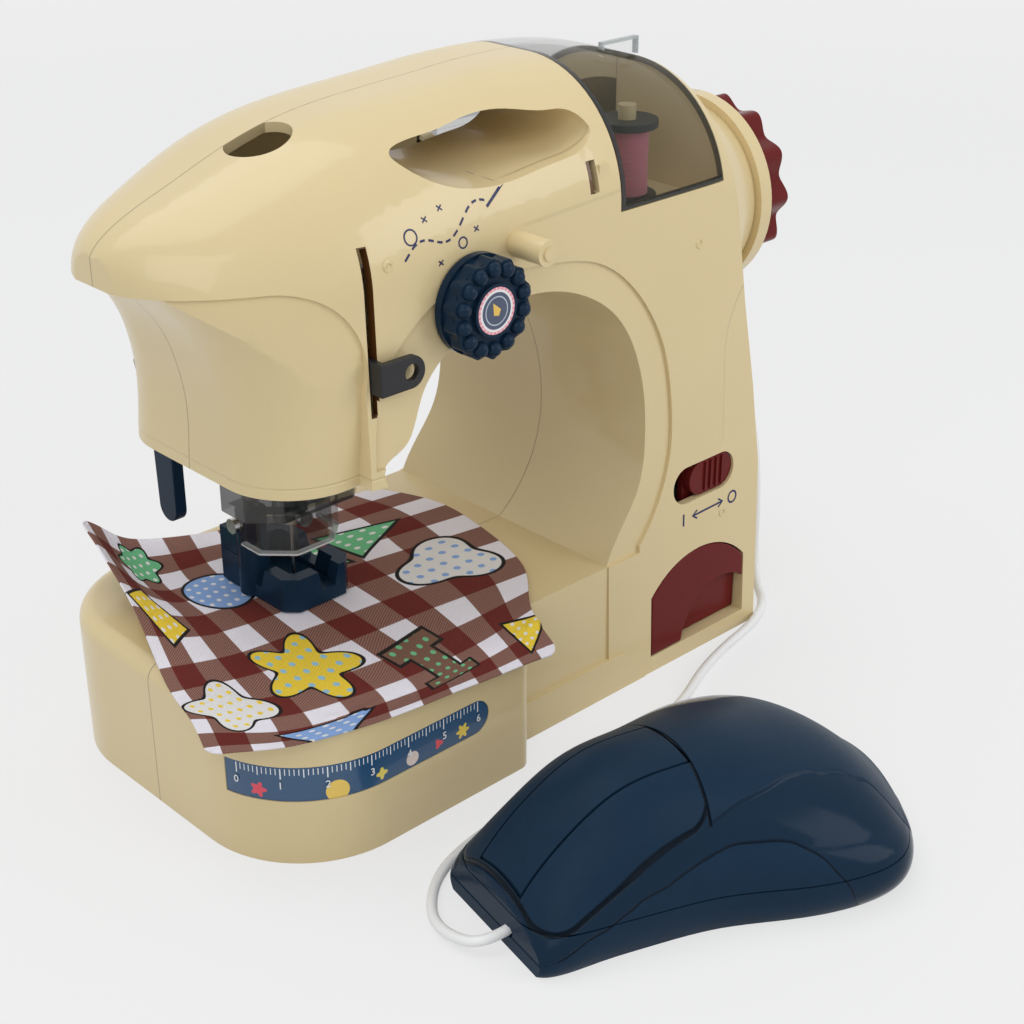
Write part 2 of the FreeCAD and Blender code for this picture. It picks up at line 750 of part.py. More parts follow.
def front_half(shell):
    """Front shell with the openings and lugs of the operating side."""
    half = shell.common(half_space(True))
    face = -at.foot_half
    slot = Part.makeBox(at.slot_width, 2 * at.overrun, at.slot_top - at.slot_bottom,
                        Vector(at.slot_place - at.slot_width / 2, -at.arm_half - at.overrun,
                               at.slot_bottom))
    leaf_left = Vector(at.leaf_left, 0, at.lip_height)
    leaf_right = Vector(at.leaf_right, 0, at.lip_height)
    leaf_tip = Vector((at.leaf_left + at.leaf_right) / 2, -at.leaf_depth, at.lip_height)
    leaf = Part.Face(Part.Wire([bow(leaf_left, leaf_tip, leaf_right),
                                Part.LineSegment(leaf_right, leaf_left).toShape()]))
    leaf = leaf.extrude(Vector(0, 0, at.body_height - at.lip_height))
    knob_hole = Part.makeCylinder(at.knob_stem + at.seat_gap, 2 * at.overrun,
                                  Vector(at.knob_place, -at.arm_half - at.overrun, at.knob_height),
                                  Vector(0, 1, 0))
    window = stadium(at.switch_place - at.switch_length / 2, at.switch_place + at.switch_length / 2,
                     at.switch_height - at.switch_opening / 2,
                     at.switch_height + at.switch_opening / 2, face - at.overrun, face + 2 * at.overrun)
    bay = drawer_bay(at.seat_gap, -at.table_half, at.drawer_back + at.seat_gap)
    slit = Part.makeBox(at.slit_width, 2 * at.overrun, at.slit_height,
                        Vector(at.slit_place, -at.arm_half - at.overrun, at.slit_low))
    half = half.cut([slot, leaf, knob_hole, window, bay, slit, label_skin(0.0, 0.0, at.label_depth)])
    peg = Part.makeCylinder(at.peg_radius, at.peg_reach - at.arm_half + at.wall / 2,
                            Vector(at.peg_place, -at.peg_reach, at.peg_height), Vector(0, 1, 0))
    tip = Part.makeCylinder(at.peg_radius / 2, at.wall / 2,
                            Vector(at.peg_place, -at.peg_reach - at.wall / 4, at.peg_height),
                            Vector(0, 1, 0))
    lug = Part.makeBox(at.slit_width * 1.6, at.wall + at.arm_corner / 8, at.slit_height * 0.9,
                       Vector(at.slit_place + 1.3 * at.slit_width, -at.arm_half + at.wall / 2,
                              at.slit_low - at.wall / 4))
    plinth = Part.Face(Part.Wire(polyline([
        Vector(at.table_right, 0, 0), Vector(at.plinth_right, 0, 0),
        Vector(at.plinth_right - at.plinth_height * 0.8, 0, at.plinth_height),
        Vector(at.table_right, 0, at.plinth_height), Vector(at.table_right, 0, 0)])))
    plinth = plinth.extrude(Vector(0, at.plinth_proud + at.wall, 0))
    plinth.translate(Vector(0, face - at.plinth_proud, 0))
    post = Part.makeCylinder(at.post_radius, at.spool_height + at.post_top + at.wall / 2,
                             Vector(at.spool_place, at.spool_front, at.room_floor - at.wall / 2))
    return half.fuse([peg, tip, lug, plinth, post])


def back_half(shell):
    """Back shell with screw wells, the lifter's ears and the socket hole."""
    half = shell.common(half_space(False))
    wells = bosses(at.screw_head + at.seat_gap, at.arm_half * 0.55, at.table_half)
    wells = [well.common(half_space(False)) for well in wells]
    socket = Part.makeCylinder(at.plug_radius + at.bore_gap, 6 * at.wall,
                               Vector(at.jack_x - 3 * at.wall, at.jack_y, at.jack_height),
                               Vector(1, 0, 0))
    arm_slot = Part.makeBox(at.lever_thickness + 2 * at.seat_gap, 4 * at.wall,
                            lifter_top() - at.lifter_z + at.presser_lift + at.link_height
                            + 3 * at.seat_gap,
                            Vector(at.lever_place - at.lever_thickness / 2 - at.seat_gap,
                                   at.arm_half * 0.9 - 2 * at.wall, at.lifter_z))
    half = half.cut(wells + [socket, arm_slot])
    ears = []
    for side in (-1, 1):
        middle = at.lever_place + side * (at.lever_thickness / 2 + at.seat_gap + at.ear_width / 2)
        ear = Part.makeCylinder(at.ear_radius, at.ear_width,
                                Vector(middle - at.ear_width / 2, at.lifter_y, at.lifter_z),
                                Vector(1, 0, 0))
        root = Part.makeBox(at.ear_width, at.lifter_y - at.arm_half * 0.85, 2 * at.ear_radius,
                            Vector(middle - at.ear_width / 2, at.arm_half * 0.85,
                                   at.lifter_z - at.ear_radius))
        ears += [ear, root]
    for middle in hinge_ears():
        ear = Part.makeCylinder(at.knuckle_radius, at.knuckle_width,
                                Vector(middle - at.knuckle_width / 2, at.hinge_y, at.hinge_z),
                                Vector(1, 0, 0))
        root = Part.makeBox(at.knuckle_width, at.hinge_y - at.arm_half + at.wall,
                            2 * at.knuckle_radius,
                            Vector(middle - at.knuckle_width / 2, at.arm_half - at.wall,
                                   at.hinge_z - 2 * at.knuckle_radius))
        ears += [ear, root.cut(Part.makeBox(at.body_length, at.wall, at.body_height,
                                            Vector(0, at.arm_half - at.wall,
                                                   at.lid_sill)))]
    half = half.fuse(ears).cut(housing(at.wall).cut(bosses(at.boss_radius, 0, at.table_half)))
    pin = Part.makeCylinder(at.lifter_pin + at.bore_gap, 4 * at.ear_width + at.lever_thickness,
                            Vector(at.lever_place - 2 * at.ear_width - at.lever_thickness / 2,
                                   at.lifter_y, at.lifter_z), Vector(1, 0, 0))
    first, last = hinge_ears()
    relief = Part.makeCylinder(at.knuckle_radius + at.seat_gap, last - first - at.knuckle_width,
                               Vector(first + at.knuckle_width / 2, at.hinge_y, at.hinge_z),
                               Vector(1, 0, 0))
    half = half.cut(relief)
    hinge = Part.makeCylinder(at.lid_pin_radius + at.bore_gap, at.body_length,
                              Vector(0, at.hinge_y, at.hinge_z), Vector(1, 0, 0))
    return half.cut([pin, hinge])


def hinge_ears():
    """Middles of the two hinge ears of the housing, along X."""
    inset = at.knuckle_width * 1.8
    return at.lid_left + inset, at.lid_right - inset


def lifter_top():
    """Underside of the presser's link arm, just clear of the lifter's cam."""
    return at.lifter_z + at.cam_radius + at.cam_slack



shell = whole_shell()
solid("front_shell", front_half(shell))
solid("back_shell", back_half(shell))


def underside(inset, height):
    """Outline of the housing's open underside, set in, as a plate."""
    plate = table(at.wall + inset).common(
        Part.makeBox(2 * at.body_length, 2 * at.body_length, height,
                     Vector(-at.body_length, -at.body_length, 0)))
    half = at.foot_half - at.wall - inset - at.plinth_proud
    right = FLANK_SHARES[0][0] * at.body_length - at.wall - inset
    strip = Part.makeBox(right - at.table_right + at.overrun, 2 * half, height,
                         Vector(at.table_right - at.overrun, -half, 0))
    return plate.fuse(strip).removeSplitter()


def bay_box(grow, low, high):
    return Part.makeBox(at.bay_right - at.bay_left + 2 * grow, 2 * (at.bay_half + grow), high - low,
                        Vector(at.bay_left - grow, -at.bay_half - grow, low))


# Underside: floor plate, battery tray, door, cells and contacts

solid("bottom_plate", underside(at.seat_gap, at.floor_plate).cut(
    bay_box(at.seat_gap, -at.overrun, at.floor_plate + at.overrun)))
solid("battery_door", bay_box(0.0, 0.0, at.floor_plate))
tray_top = at.floor_plate + 2 * at.cell_radius + 2 * at.seat_gap
solid("battery_tray", bay_box(at.tray_wall, at.floor_plate, tray_top + at.tray_wall).cut(
    bay_box(0.0, at.floor_plate, tray_top)))
pitch = (at.bay_right - at.bay_left) / 4
cells = []
plates = []
for k in range(4):
    middle = at.bay_left + pitch * (k + 0.5)
    level = at.floor_plate + at.seat_gap + at.cell_radius
    tip = at.cell_radius / 3
    turn = 1 if k % 2 else -1
    can = Part.makeCylinder(at.cell_radius, at.cell_length,
                            Vector(middle, -at.cell_length / 2, level), Vector(0, 1, 0))
    nub = Part.makeCylinder(tip, tip / 2, Vector(middle, turn * at.cell_length / 2, level),
                            Vector(0, turn, 0))
    cells.append(can.fuse(nub))
    for side in (-1, 1):
        y = side * (at.bay_half - at.seat_gap - at.contact_sheet / 2)
        plates.append(Part.makeBox(2 * at.cell_radius * 0.8, at.contact_sheet, at.cell_radius * 1.4,
                                   Vector(middle - at.cell_radius * 0.8,
                                          y - at.contact_sheet / 2, level - at.cell_radius * 0.7)))
        if side != turn:
            coil = Part.makeCone(at.cell_radius * 0.6, at.cell_radius * 0.35,
                                 at.bay_half - at.cell_length / 2 - 3 * at.seat_gap
                                 - at.contact_sheet,
                                 Vector(middle, y - side * at.contact_sheet / 2, level),
                                 Vector(0, -side, 0))
            plates[-1] = plates[-1].fuse(coil)
solid("batteries", Part.makeCompound(cells))
solid("battery_contacts", Part.makeCompound(plates))

# Needle plate in the bed
node(less("needle_plate_cut",
          block("needle_plate_blank", "plate_length - 2 * bore_gap", "plate_width - 2 * bore_gap",
                "plate_thickness", ("needle_place - plate_length / 2 + bore_gap",
                                    "bore_gap - plate_width / 2", "bed_height - plate_thickness")),
          rod("needle_plate_hole", "3 * needle_radius", "2 * overrun",
              ("needle_place", "0", "bed_height - overrun"))), "needle_plate")


# Lid over the spool room

def lid():
    """Smoked saddle over the spool room, with its hinge knuckle and finger tab."""
    gap = at.seat_gap
    window = Part.makeBox(at.lid_right - at.lid_left - 2 * gap, 2 * at.table_half, at.body_height,
                          Vector(at.lid_left + gap, -at.table_half, at.lid_sill + gap))
    cover = loaf(0.0).common(window).cut(loaf(at.lid_wall))
    first, last = hinge_ears()
    start = first + at.knuckle_width / 2 + gap
    width = last - at.knuckle_width / 2 - gap - start
    knuckle = Part.makeCylinder(at.knuckle_radius, width, Vector(start, at.hinge_y, at.hinge_z),
                                Vector(1, 0, 0))
    web = Part.makeBox(width, at.hinge_y - at.arm_half + at.lid_wall, 2 * at.knuckle_radius,
                       Vector(start, at.arm_half - at.lid_wall, at.hinge_z))
    hollow = loaf(at.lid_wall).common(window)
    under = Part.makeBox(at.body_length, at.arm_half, at.lid_sill + gap,
                         Vector(0, 0, 0))
    crown = at.body_height * CROWN_SHARES[3][1]
    tab = Part.makeBox(at.lid_tab_width, at.lid_wall, at.lid_tab_height + at.lid_wall,
                       Vector(at.lid_right - 1.3 * at.lid_tab_width, -2 * at.overrun,
                              crown - 1.8 * at.lid_wall))
    shape = cover.fuse([knuckle, web, tab])
    pegs = Part.makeCylinder(at.lid_pin_radius, last - first + at.knuckle_width,
                             Vector(first - at.knuckle_width / 2, at.hinge_y, at.hinge_z),
                             Vector(1, 0, 0))
    notches = [Part.makeCylinder(at.knuckle_radius + at.seat_gap, at.knuckle_width + 2 * gap,
                                 Vector(middle - at.knuckle_width / 2 - gap, at.hinge_y,
                                        at.hinge_z), Vector(1, 0, 0))
               for middle in (first, last)]
    return shape.cut([hollow, under] + notches).fuse(pegs)


solid("spool_lid", lid())

# Spool room: spool and thread
turned("spool", [
    ("0", "post_radius + bore_gap"), ("0", "spool_radius"), ("spool_flange", "spool_radius"),
    ("spool_flange", "spool_core"), ("spool_height - spool_flange", "spool_core"),
    ("spool_height - spool_flange", "spool_radius"), ("spool_height", "spool_radius"),
    ("spool_height", "post_radius + bore_gap")],
    ("spool_place", "spool_front", "room_floor + seat_gap"), "Z")
turned("spool_thread", [
    ("spool_flange", "spool_core"), ("spool_flange", "thread_radius"),
    ("spool_height - spool_flange", "thread_radius"),
    ("spool_height - spool_flange", "spool_core")],
    ("spool_place", "spool_front", "room_floor + seat_gap"), "Z")


# Drive: shafts, gears, pulleys, belt and motor

def gear(radius, teeth, width, bore):
    """Spur gear with straight-sided teeth, its axis along +X from the origin."""
    points = []
    for k in range(teeth):
        for share, reach in ((-0.26, 0.0), (-0.10, 1.0), (0.10, 1.0), (0.26, 0.0)):
            angle = 2 * math.pi * (k + share) / teeth
            r = radius - at.tooth_depth / 2 - at.bore_gap + reach * at.tooth_depth
            points.append(Vector(0, r * math.sin(angle), r * math.cos(angle)))
    wire = Part.makePolygon(points + points[:1])
    wheel = Part.Face(wire).extrude(Vector(width, 0, 0))
    if bore:
        return wheel.cut(Part.makeCylinder(bore, width, Vector(), Vector(1, 0, 0)))
    return wheel


def lobed(radius, lobes, depth, width, bore=0.0):
    """Scalloped disc, its axis along +X from the origin."""
    points = []
    for k in range(4 * lobes):
        angle = 2 * math.pi * k / (4 * lobes)
        r = radius - depth / 2 + depth / 2 * math.cos(lobes * angle)
        points.append(Vector(0, r * math.sin(angle), r * math.cos(angle)))
    ring = Part.BSplineCurve()
    ring.interpolate(points, PeriodicFlag=True)
    wheel = Part.Face(Part.Wire([ring.toShape()])).extrude(Vector(width, 0, 0))
    if bore:
        return wheel.cut(Part.makeCylinder(bore, width, Vector(), Vector(1, 0, 0)))
    return wheel


def moved(shape, x, y, z, turn=None):
    shape = shape.copy()
    shape.Placement = Placement(Vector(x, y, z), turn or Rotation())
    return shape


node(rod("main_shaft_rod", "shaft_radius",
         "collar_end + wheel_thickness / 2 - shaft_left + crank_width / 2",
         ("shaft_left - crank_width / 2", "0", "drive_height"), "X"), "main_shaft")
sleeve = Part.makeCylinder(at.bush_radius, at.bush_length, Vector(), Vector(1, 0, 0)).cut(
    Part.makeCylinder(at.shaft_radius + at.bore_gap, at.bush_length, Vector(), Vector(1, 0, 0)))
solid("shaft_bushes", Part.makeCompound([
    moved(sleeve, at.shaft_left + at.bore_gap, 0, at.drive_height),
    moved(sleeve, at.collar_end - at.bush_length, 0, at.drive_height)]))

wheel_start = at.collar_end + 2 * at.seat_gap
rim = lobed(at.wheel_radius, 12, at.wheel_lobe, at.wheel_thickness)
hub = Part.makeCylinder(at.shaft_radius, at.collar_end + at.wheel_thickness / 2 - wheel_start,
                        Vector(), Vector(1, 0, 0))
dish = Part.makeCone(at.wheel_radius * 0.55, at.wheel_radius * 0.7, at.wheel_thickness / 4,
                     Vector(at.wheel_thickness * 0.75, 0, 0), Vector(1, 0, 0))
solid("handwheel", moved(rim.cut([hub, dish]), wheel_start, 0, at.drive_height))

teeth_big = 28
teeth_small = 8
pinion_radius = at.gear_radius * teeth_small / teeth_big
motor_height = at.drive_height - at.gear_radius - pinion_radius
solid("drive_gear", moved(gear(at.gear_radius, teeth_big, at.gear_width, at.shaft_radius),
                          at.gear_place, 0, at.drive_height,
                          Rotation(Vector(1, 0, 0), 180.0 / teeth_big)))
solid("motor_pinion", moved(gear(pinion_radius, teeth_small, at.gear_width, at.motor_shaft_radius),
                            at.gear_place, 0, motor_height))
motor_left = at.pulley_place - at.seat_gap - at.motor_length
solid("motor_rotor", Part.makeCylinder(at.motor_shaft_radius,
                                       at.gear_place + at.gear_width - at.pulley_place
                                       + at.motor_length / 2,
                                       Vector(at.pulley_place - at.motor_length / 2, 0, motor_height),
                                       Vector(1, 0, 0)))
can = Part.makeCylinder(at.motor_radius, at.motor_length, Vector(motor_left, 0, motor_height),
                        Vector(1, 0, 0))
flat = Part.makeBox(at.motor_length, 2 * at.motor_radius, at.motor_radius,
                    Vector(motor_left, -at.motor_radius, motor_height + 0.75 * at.motor_radius))
under_flat = flat.mirror(Vector(0, 0, motor_height), Vector(0, 0, 1))
rotor_bore = Part.makeCylinder(at.motor_shaft_radius + at.bore_gap, at.motor_length,
                               Vector(at.pulley_place - at.motor_length / 2 - at.seat_gap, 0,
                                      motor_height), Vector(1, 0, 0))
solid("motor", can.cut([flat, under_flat, rotor_bore]))


def pulley(bore):
    """Flanged belt pulley, its axis along +X from the origin."""
    flange = at.pulley_width / 6
    core = Part.makeCylinder(at.pulley_radius - at.belt_thickness, at.pulley_width, Vector(),
                             Vector(1, 0, 0))
    rims = [Part.makeCylinder(at.pulley_radius, flange, Vector(x, 0, 0), Vector(1, 0, 0))
            for x in (0.0, at.pulley_width - flange)]
    return core.fuse(rims).cut(Part.makeCylinder(bore, at.pulley_width, Vector(), Vector(1, 0, 0)))


def belt():
    """Endless belt round both pulleys, running clear of their cores."""
    width = at.pulley_width * 2 / 3 - 2 * at.bore_gap
    start = at.pulley_place + (at.pulley_width - width) / 2
    faces = []
    for r in (at.pulley_radius + at.bore_gap, at.pulley_radius - at.belt_thickness + at.bore_gap):
        top, low = at.drive_height, at.lower_height
        faces.append(Part.Face(Part.Wire([
            bow(Vector(start, -r, top), Vector(start, 0, top + r), Vector(start, r, top)),
            Part.LineSegment(Vector(start, r, top), Vector(start, r, low)).toShape(),
            bow(Vector(start, r, low), Vector(start, 0, low - r), Vector(start, -r, low)),
            Part.LineSegment(Vector(start, -r, low), Vector(start, -r, top)).toShape()])))
    loop = [face.extrude(Vector(width, 0, 0)) for face in faces]
    return loop[0].cut(loop[1])


solid("upper_pulley", moved(pulley(at.shaft_radius), at.pulley_place, 0, at.drive_height))
solid("lower_pulley", moved(pulley(at.lower_radius), at.pulley_place, 0, at.lower_height))
solid("drive_belt", belt())
node(rod("lower_shaft_rod", "lower_radius", "pulley_place + pulley_width - hook_place",
         ("hook_place", "0", "lower_height"), "X"), "lower_shaft")
hook = Part.makeCylinder(at.hook_radius, at.hook_width, Vector(), Vector(1, 0, 0))
bite = Part.makeBox(at.hook_width * 0.55, 2 * at.hook_radius, at.hook_radius,
                    Vector(0, -at.hook_radius * 0.35, at.hook_radius * 0.3))
bore = Part.makeCylinder(at.lower_radius, at.hook_width, Vector(), Vector(1, 0, 0))
solid("looper_hook", moved(hook.cut([bite, bore]), at.hook_place, 0, at.lower_height))
stands = []
for x in (at.bay_left - 1.15 * at.bush_length, at.pulley_place - 2 * at.bush_length):
    stand = Part.makeBox(at.bush_length * 0.7, 2 * at.bush_radius,
                         at.lower_height + at.bush_radius - at.floor_plate - at.bore_gap,
                         Vector(x, -at.bush_radius, at.floor_plate + at.bore_gap))
    stands.append(stand.cut(Part.makeCylinder(at.lower_radius + at.bore_gap, at.bush_length,
                                              Vector(x, 0, at.lower_height), Vector(1, 0, 0))))
solid("lower_bushes", Part.makeCompound(stands))

# Crank at the head end, the yoke on the needle bar and the thread lever

def boxed(x, y, z):
    """A box between two limits along each axis."""
    return Part.makeBox(x[1] - x[0], y[1] - y[0], z[1] - z[0], Vector(x[0], y[0], z[0]))


def upright(radius, x, y, low, high):
    return Part.makeCylinder(radius, high - low, Vector(x, y, low))


def coil(radius, wire, length, turns, x, y, low):
    """Compression spring standing on Z."""
    path = Part.makeHelix((length - 2 * wire) / turns, length - 2 * wire, radius)
    ring = Part.Wire([Part.Circle(Vector(radius, 0, 0), Vector(0, 1, 0), wire).toShape()])
    pipe = Part.Wire(path.Edges).makePipeShell([ring], True, True)
    return moved(pipe, x, y, low + wire)


crank_drop = (at.needle_up - at.needle_down) / 2
crank_side = math.sqrt(at.crank_throw ** 2 - crank_drop ** 2)
disc = Part.makeCylinder(at.crank_radius, at.crank_width, Vector(), Vector(1, 0, 0))
pin = Part.makeCylinder(at.crank_pin_radius, at.crank_width,
                        Vector(-at.crank_width, crank_side, -crank_drop), Vector(1, 0, 0))
hub = Part.makeCylinder(at.shaft_radius, at.crank_width / 2, Vector(at.crank_width / 2, 0, 0),
                        Vector(1, 0, 0))
weight = boxed((0.0, at.crank_width), (-at.crank_radius, at.crank_radius),
               (at.crank_radius * 0.45, at.crank_radius))
solid("crank_disc", moved(disc.fuse(pin).cut([weight, hub]), at.shaft_left - at.crank_width, 0,
                          at.drive_height))

bar = upright(at.needle_bar_radius, at.needle_place, 0, at.needle_bar_bottom, at.needle_bar_top)
node(rod("needle_bar_rod", "needle_bar_radius", "needle_bar_top - needle_bar_bottom",
         ("needle_place", "0", "needle_bar_bottom")), "needle_bar")
yoke_middle = at.drive_height - crank_drop
yoke_right = at.shaft_left - 2 * at.crank_width - at.seat_gap
hub_radius = 2 * at.needle_bar_radius
yoke_low, yoke_high = yoke_middle - at.yoke_height / 2, yoke_middle + at.yoke_height / 2
yoke = boxed((yoke_right - at.yoke_thickness, yoke_right), (-at.yoke_width / 2, at.yoke_width / 2),
             (yoke_low, yoke_high))
channel = boxed((yoke_right - at.yoke_thickness / 2, yoke_right),
                (-at.yoke_width / 2 + at.wall, at.yoke_width / 2 - at.wall),
                (yoke_middle - at.crank_pin_radius, yoke_middle + at.crank_pin_radius))
yoke = yoke.cut(channel).fuse(upright(hub_radius, at.needle_place, 0, yoke_low, yoke_high))
solid("needle_yoke", yoke.cut(bar))

plate_low, plate_high = at.tab_place - at.tab_height / 2, at.tab_place + at.tab_height / 2
ring_high = yoke_low - at.seat_gap
ring_low = ring_high - at.link_height
tab_front = -at.arm_half - 1.5 * at.wall
leaf_x = at.slot_place - at.tab_thickness / 2
outline = [(tab_front, plate_low), (tab_front, plate_high), (-2 * hub_radius, plate_high),
           (-hub_radius - at.wall, ring_high), (0, ring_high), (0, ring_low),
           (-hub_radius - at.wall, ring_low), (-2 * hub_radius, plate_low)]
outline = [Vector(leaf_x, y, z) for y, z in outline]
lever = Part.Face(Part.Wire(polyline(outline + outline[:1]))).extrude(
    Vector(at.tab_thickness, 0, 0))
tab_end = leaf_x + at.tab_length
tab = boxed((leaf_x, tab_end - at.tab_height / 2), (tab_front, tab_front + at.tab_thickness),
            (plate_low, plate_high))
nose = Part.makeCylinder(at.tab_height / 2, at.tab_thickness,
                         Vector(tab_end - at.tab_height / 2, tab_front, at.tab_place),
                         Vector(0, 1, 0))
eye = Part.makeCylinder(at.tab_height / 4, at.tab_thickness,
                        Vector(tab_end - at.tab_height / 2, tab_front, at.tab_place),
                        Vector(0, 1, 0))
ring = upright(hub_radius, at.needle_place, 0, ring_low, ring_high)
solid("thread_lever", lever.fuse([tab, nose, ring]).cut([eye, bar]))

# Needle, its clamp and the screw
clamp_low = at.needle_bar_bottom - at.link_height
clamp_high = at.needle_bar_bottom + 2 * at.link_height
clamp = upright(hub_radius * 0.9, at.needle_place, 0, clamp_low, clamp_high)
shank = upright(at.needle_radius, at.needle_place, 0, clamp_low, at.needle_bar_bottom)
screw_level = (clamp_low + at.needle_bar_bottom) / 2
bolt = Part.makeCylinder(at.lifter_pin, 1.8 * hub_radius - 2 * at.needle_radius,
                         Vector(at.needle_place, -2 * at.needle_radius, screw_level),
                         Vector(0, -1, 0))
head = Part.makeCylinder(1.8 * at.lifter_pin, at.wall,
                         Vector(at.needle_place, -0.9 * hub_radius, screw_level), Vector(0, -1, 0))
bolt = Part.makeCylinder(at.lifter_pin, 0.9 * hub_radius - 2 * at.needle_radius,
                         Vector(at.needle_place, -2 * at.needle_radius, screw_level),
                         Vector(0, -1, 0))
solid("needle_clamp", clamp.cut([bar, shank, bolt]))
solid("clamp_screw", bolt.fuse(head))
turned("needle", [("0", "0"), ("4 * needle_radius", "needle_radius * 0.7"),
                  ("needle_bar_bottom - needle_tip - 10 * needle_radius", "needle_radius * 0.7"),
                  ("needle_bar_bottom - needle_tip - 8 * needle_radius", "needle_radius"),
                  ("needle_bar_bottom - needle_tip", "needle_radius"),
                  ("needle_bar_bottom - needle_tip", "0")],
       ("needle_place", "0", "needle_tip"), "Z")

# Presser bar, its lifting link, spring and foot
node(rod("presser_bar_rod", "presser_radius", "presser_top - foot_top - wall",
         ("presser_place", "presser_setback", "foot_top + wall")), "presser_bar")
presser = upright(at.presser_radius, at.presser_place, at.presser_setback, at.foot_top + at.wall,
                  at.presser_top)
link_low = lifter_top()
link_high = link_low + at.link_height
link = upright(2 * at.presser_radius, at.presser_place, at.presser_setback, link_low, link_high)
link_arm = boxed((at.lever_place - at.lever_thickness / 2, at.lever_place + at.lever_thickness / 2),
                 (at.presser_setback, at.lifter_y - at.seat_gap), (link_low, link_high))
solid("lift_link", link.fuse(link_arm).cut(presser))
guide_low = at.presser_top - 2 * at.wall
solid("presser_spring", coil(1.5 * at.presser_radius, at.spring_wire,
                             guide_low - link_high - 2 * at.seat_gap, 6,
                             at.presser_place, at.presser_setback, link_high + at.seat_gap))


def presser_foot():
    """Open frame with raised corners, and the sleeve that takes the presser bar."""
    low = at.bed_height + at.cloth_thickness + 2 * at.seat_gap
    high = at.foot_top - 2.7 * at.wall
    left, right = at.needle_place - 0.2 * at.foot_length, at.needle_place + 0.4 * at.foot_length
    half = at.foot_width / 2
    middle = 0.26 * at.foot_width
    cut = 0.09 * at.foot_length

    def ring(inset, z):
        c = cut - inset * (2 - math.sqrt(2))
        a, b, h = left + inset, right - inset, half - inset
        points = [(a + c, -h), (b - c, -h), (b, -h + c), (b, h - c), (b - c, h), (a + c, h),
                  (a, h - c), (a, -h + c)]
        points = [Vector(x, middle + y, z) for x, y in points]
        return Part.Face(Part.Wire(polyline(points + points[:1])))

    body = ring(0, low).extrude(Vector(0, 0, high - low))
    body = body.cut(ring(1.6 * at.foot_sole, low + at.foot_sole).extrude(
        Vector(0, 0, high - low)))
    eye = boxed((at.needle_place - 0.09 * at.foot_length, at.needle_place + 0.2 * at.foot_length),
                (-0.11 * at.foot_length, 0.12 * at.foot_length), (low, low + at.foot_sole))
    notches = []
    for x, y, along in ((left, middle, "X"), (0.4 * left + 0.6 * right, middle - half, "Y"),
                        (right, middle, "X")):
        depth = (high - low) * 0.6
        w = (0.34 if along == "X" else 0.22) * at.foot_length
        wedge = [Vector(-w / 2, 0, high + at.wall), Vector(-w / 4, 0, high - depth),
                 Vector(w / 4, 0, high - depth), Vector(w / 2, 0, high + at.wall)]
        if along == "X":
            wedge = [Vector(x - at.wall * 2, y + p.x, p.z) for p in wedge]
            push = Vector(4 * at.wall, 0, 0)
        else:
            wedge = [Vector(x + p.x, y - at.wall * 2, p.z) for p in wedge]
            push = Vector(0, 4 * at.wall, 0)
        notches.append(Part.Face(Part.Wire(polyline(wedge + wedge[:1]))).extrude(push))
    sleeve = upright(1.8 * at.presser_radius, at.presser_place, at.presser_setback, low,
                     at.foot_top + 3.5 * at.wall)
    web = boxed((at.presser_place - at.presser_radius, at.presser_place + at.presser_radius),
                (at.presser_setback, middle + half - at.foot_sole / 2), (low, at.foot_top))
    bolt = Part.makeCylinder(at.lifter_pin, 2 * at.presser_radius,
                             Vector(at.presser_place - at.presser_radius, at.presser_setback,
                                    at.foot_top + 2.2 * at.wall), Vector(-1, 0, 0))
    return body.cut([eye] + notches).fuse([sleeve, web]).cut([presser, bolt])


solid("presser_foot", presser_foot())
foot_level = at.foot_top + 2.2 * at.wall
solid("foot_screw", Part.makeCylinder(at.lifter_pin, 0.8 * at.presser_radius,
                                      Vector(at.presser_place - at.presser_radius,
                                             at.presser_setback, foot_level),
                                      Vector(-1, 0, 0)).fuse(
    Part.makeCylinder(1.8 * at.lifter_pin, at.wall,
                      Vector(at.presser_place - 1.8 * at.presser_radius, at.presser_setback,
                             foot_level), Vector(-1, 0, 0))))


def lifter():
    """Hanging lever with its spiral cam, turning about X."""
    y0, z0, r0 = at.lifter_y, at.lifter_z, at.cam_radius
    spiral = []
    for k in range(13):
        turn = math.pi / 2 * k / 12
        r = r0 + at.presser_lift * k / 12
        spiral.append(Vector(0, y0 + r * math.sin(turn), z0 + r * math.cos(turn)))
    outer = spiral[-1]
    w, tip = at.lever_width, z0 - at.lever_length
    knee = Vector(0, y0 + 0.62 * w, z0 - 1.6 * w)
    right = Vector(0, y0 + 0.5 * w, tip + w / 2)
    left = Vector(0, y0 - 0.5 * w, tip + w / 2)
    hip = Vector(0, y0 - r0, z0)
    shoulder = Vector(0, y0 - r0 * math.sqrt(0.5), z0 + r0 * math.sqrt(0.5))
    waist = Vector(0, y0 - 0.5 * w, z0 - 1.2 * w)
    edges = [curve(spiral), curve([outer, Vector(0, y0 + 1.05 * w, z0 - 0.7 * w), knee])]
    edges += polyline([knee, right])
    edges.append(bow(right, Vector(0, y0, tip), left))
    edges += polyline([left, waist, hip])
    edges.append(bow(hip, shoulder, spiral[0]))
    plate = Part.Face(Part.Wire(edges)).extrude(Vector(at.lever_thickness, 0, 0))
    plate.translate(Vector(at.lever_place - at.lever_thickness / 2, 0, 0))
    reach = at.lever_thickness / 2 + at.seat_gap + at.ear_width
    stubs = Part.makeCylinder(at.lifter_pin, 2 * reach,
                              Vector(at.lever_place - reach, y0, z0), Vector(1, 0, 0))
    return plate.fuse(stubs)


solid("lifter_lever", lifter())
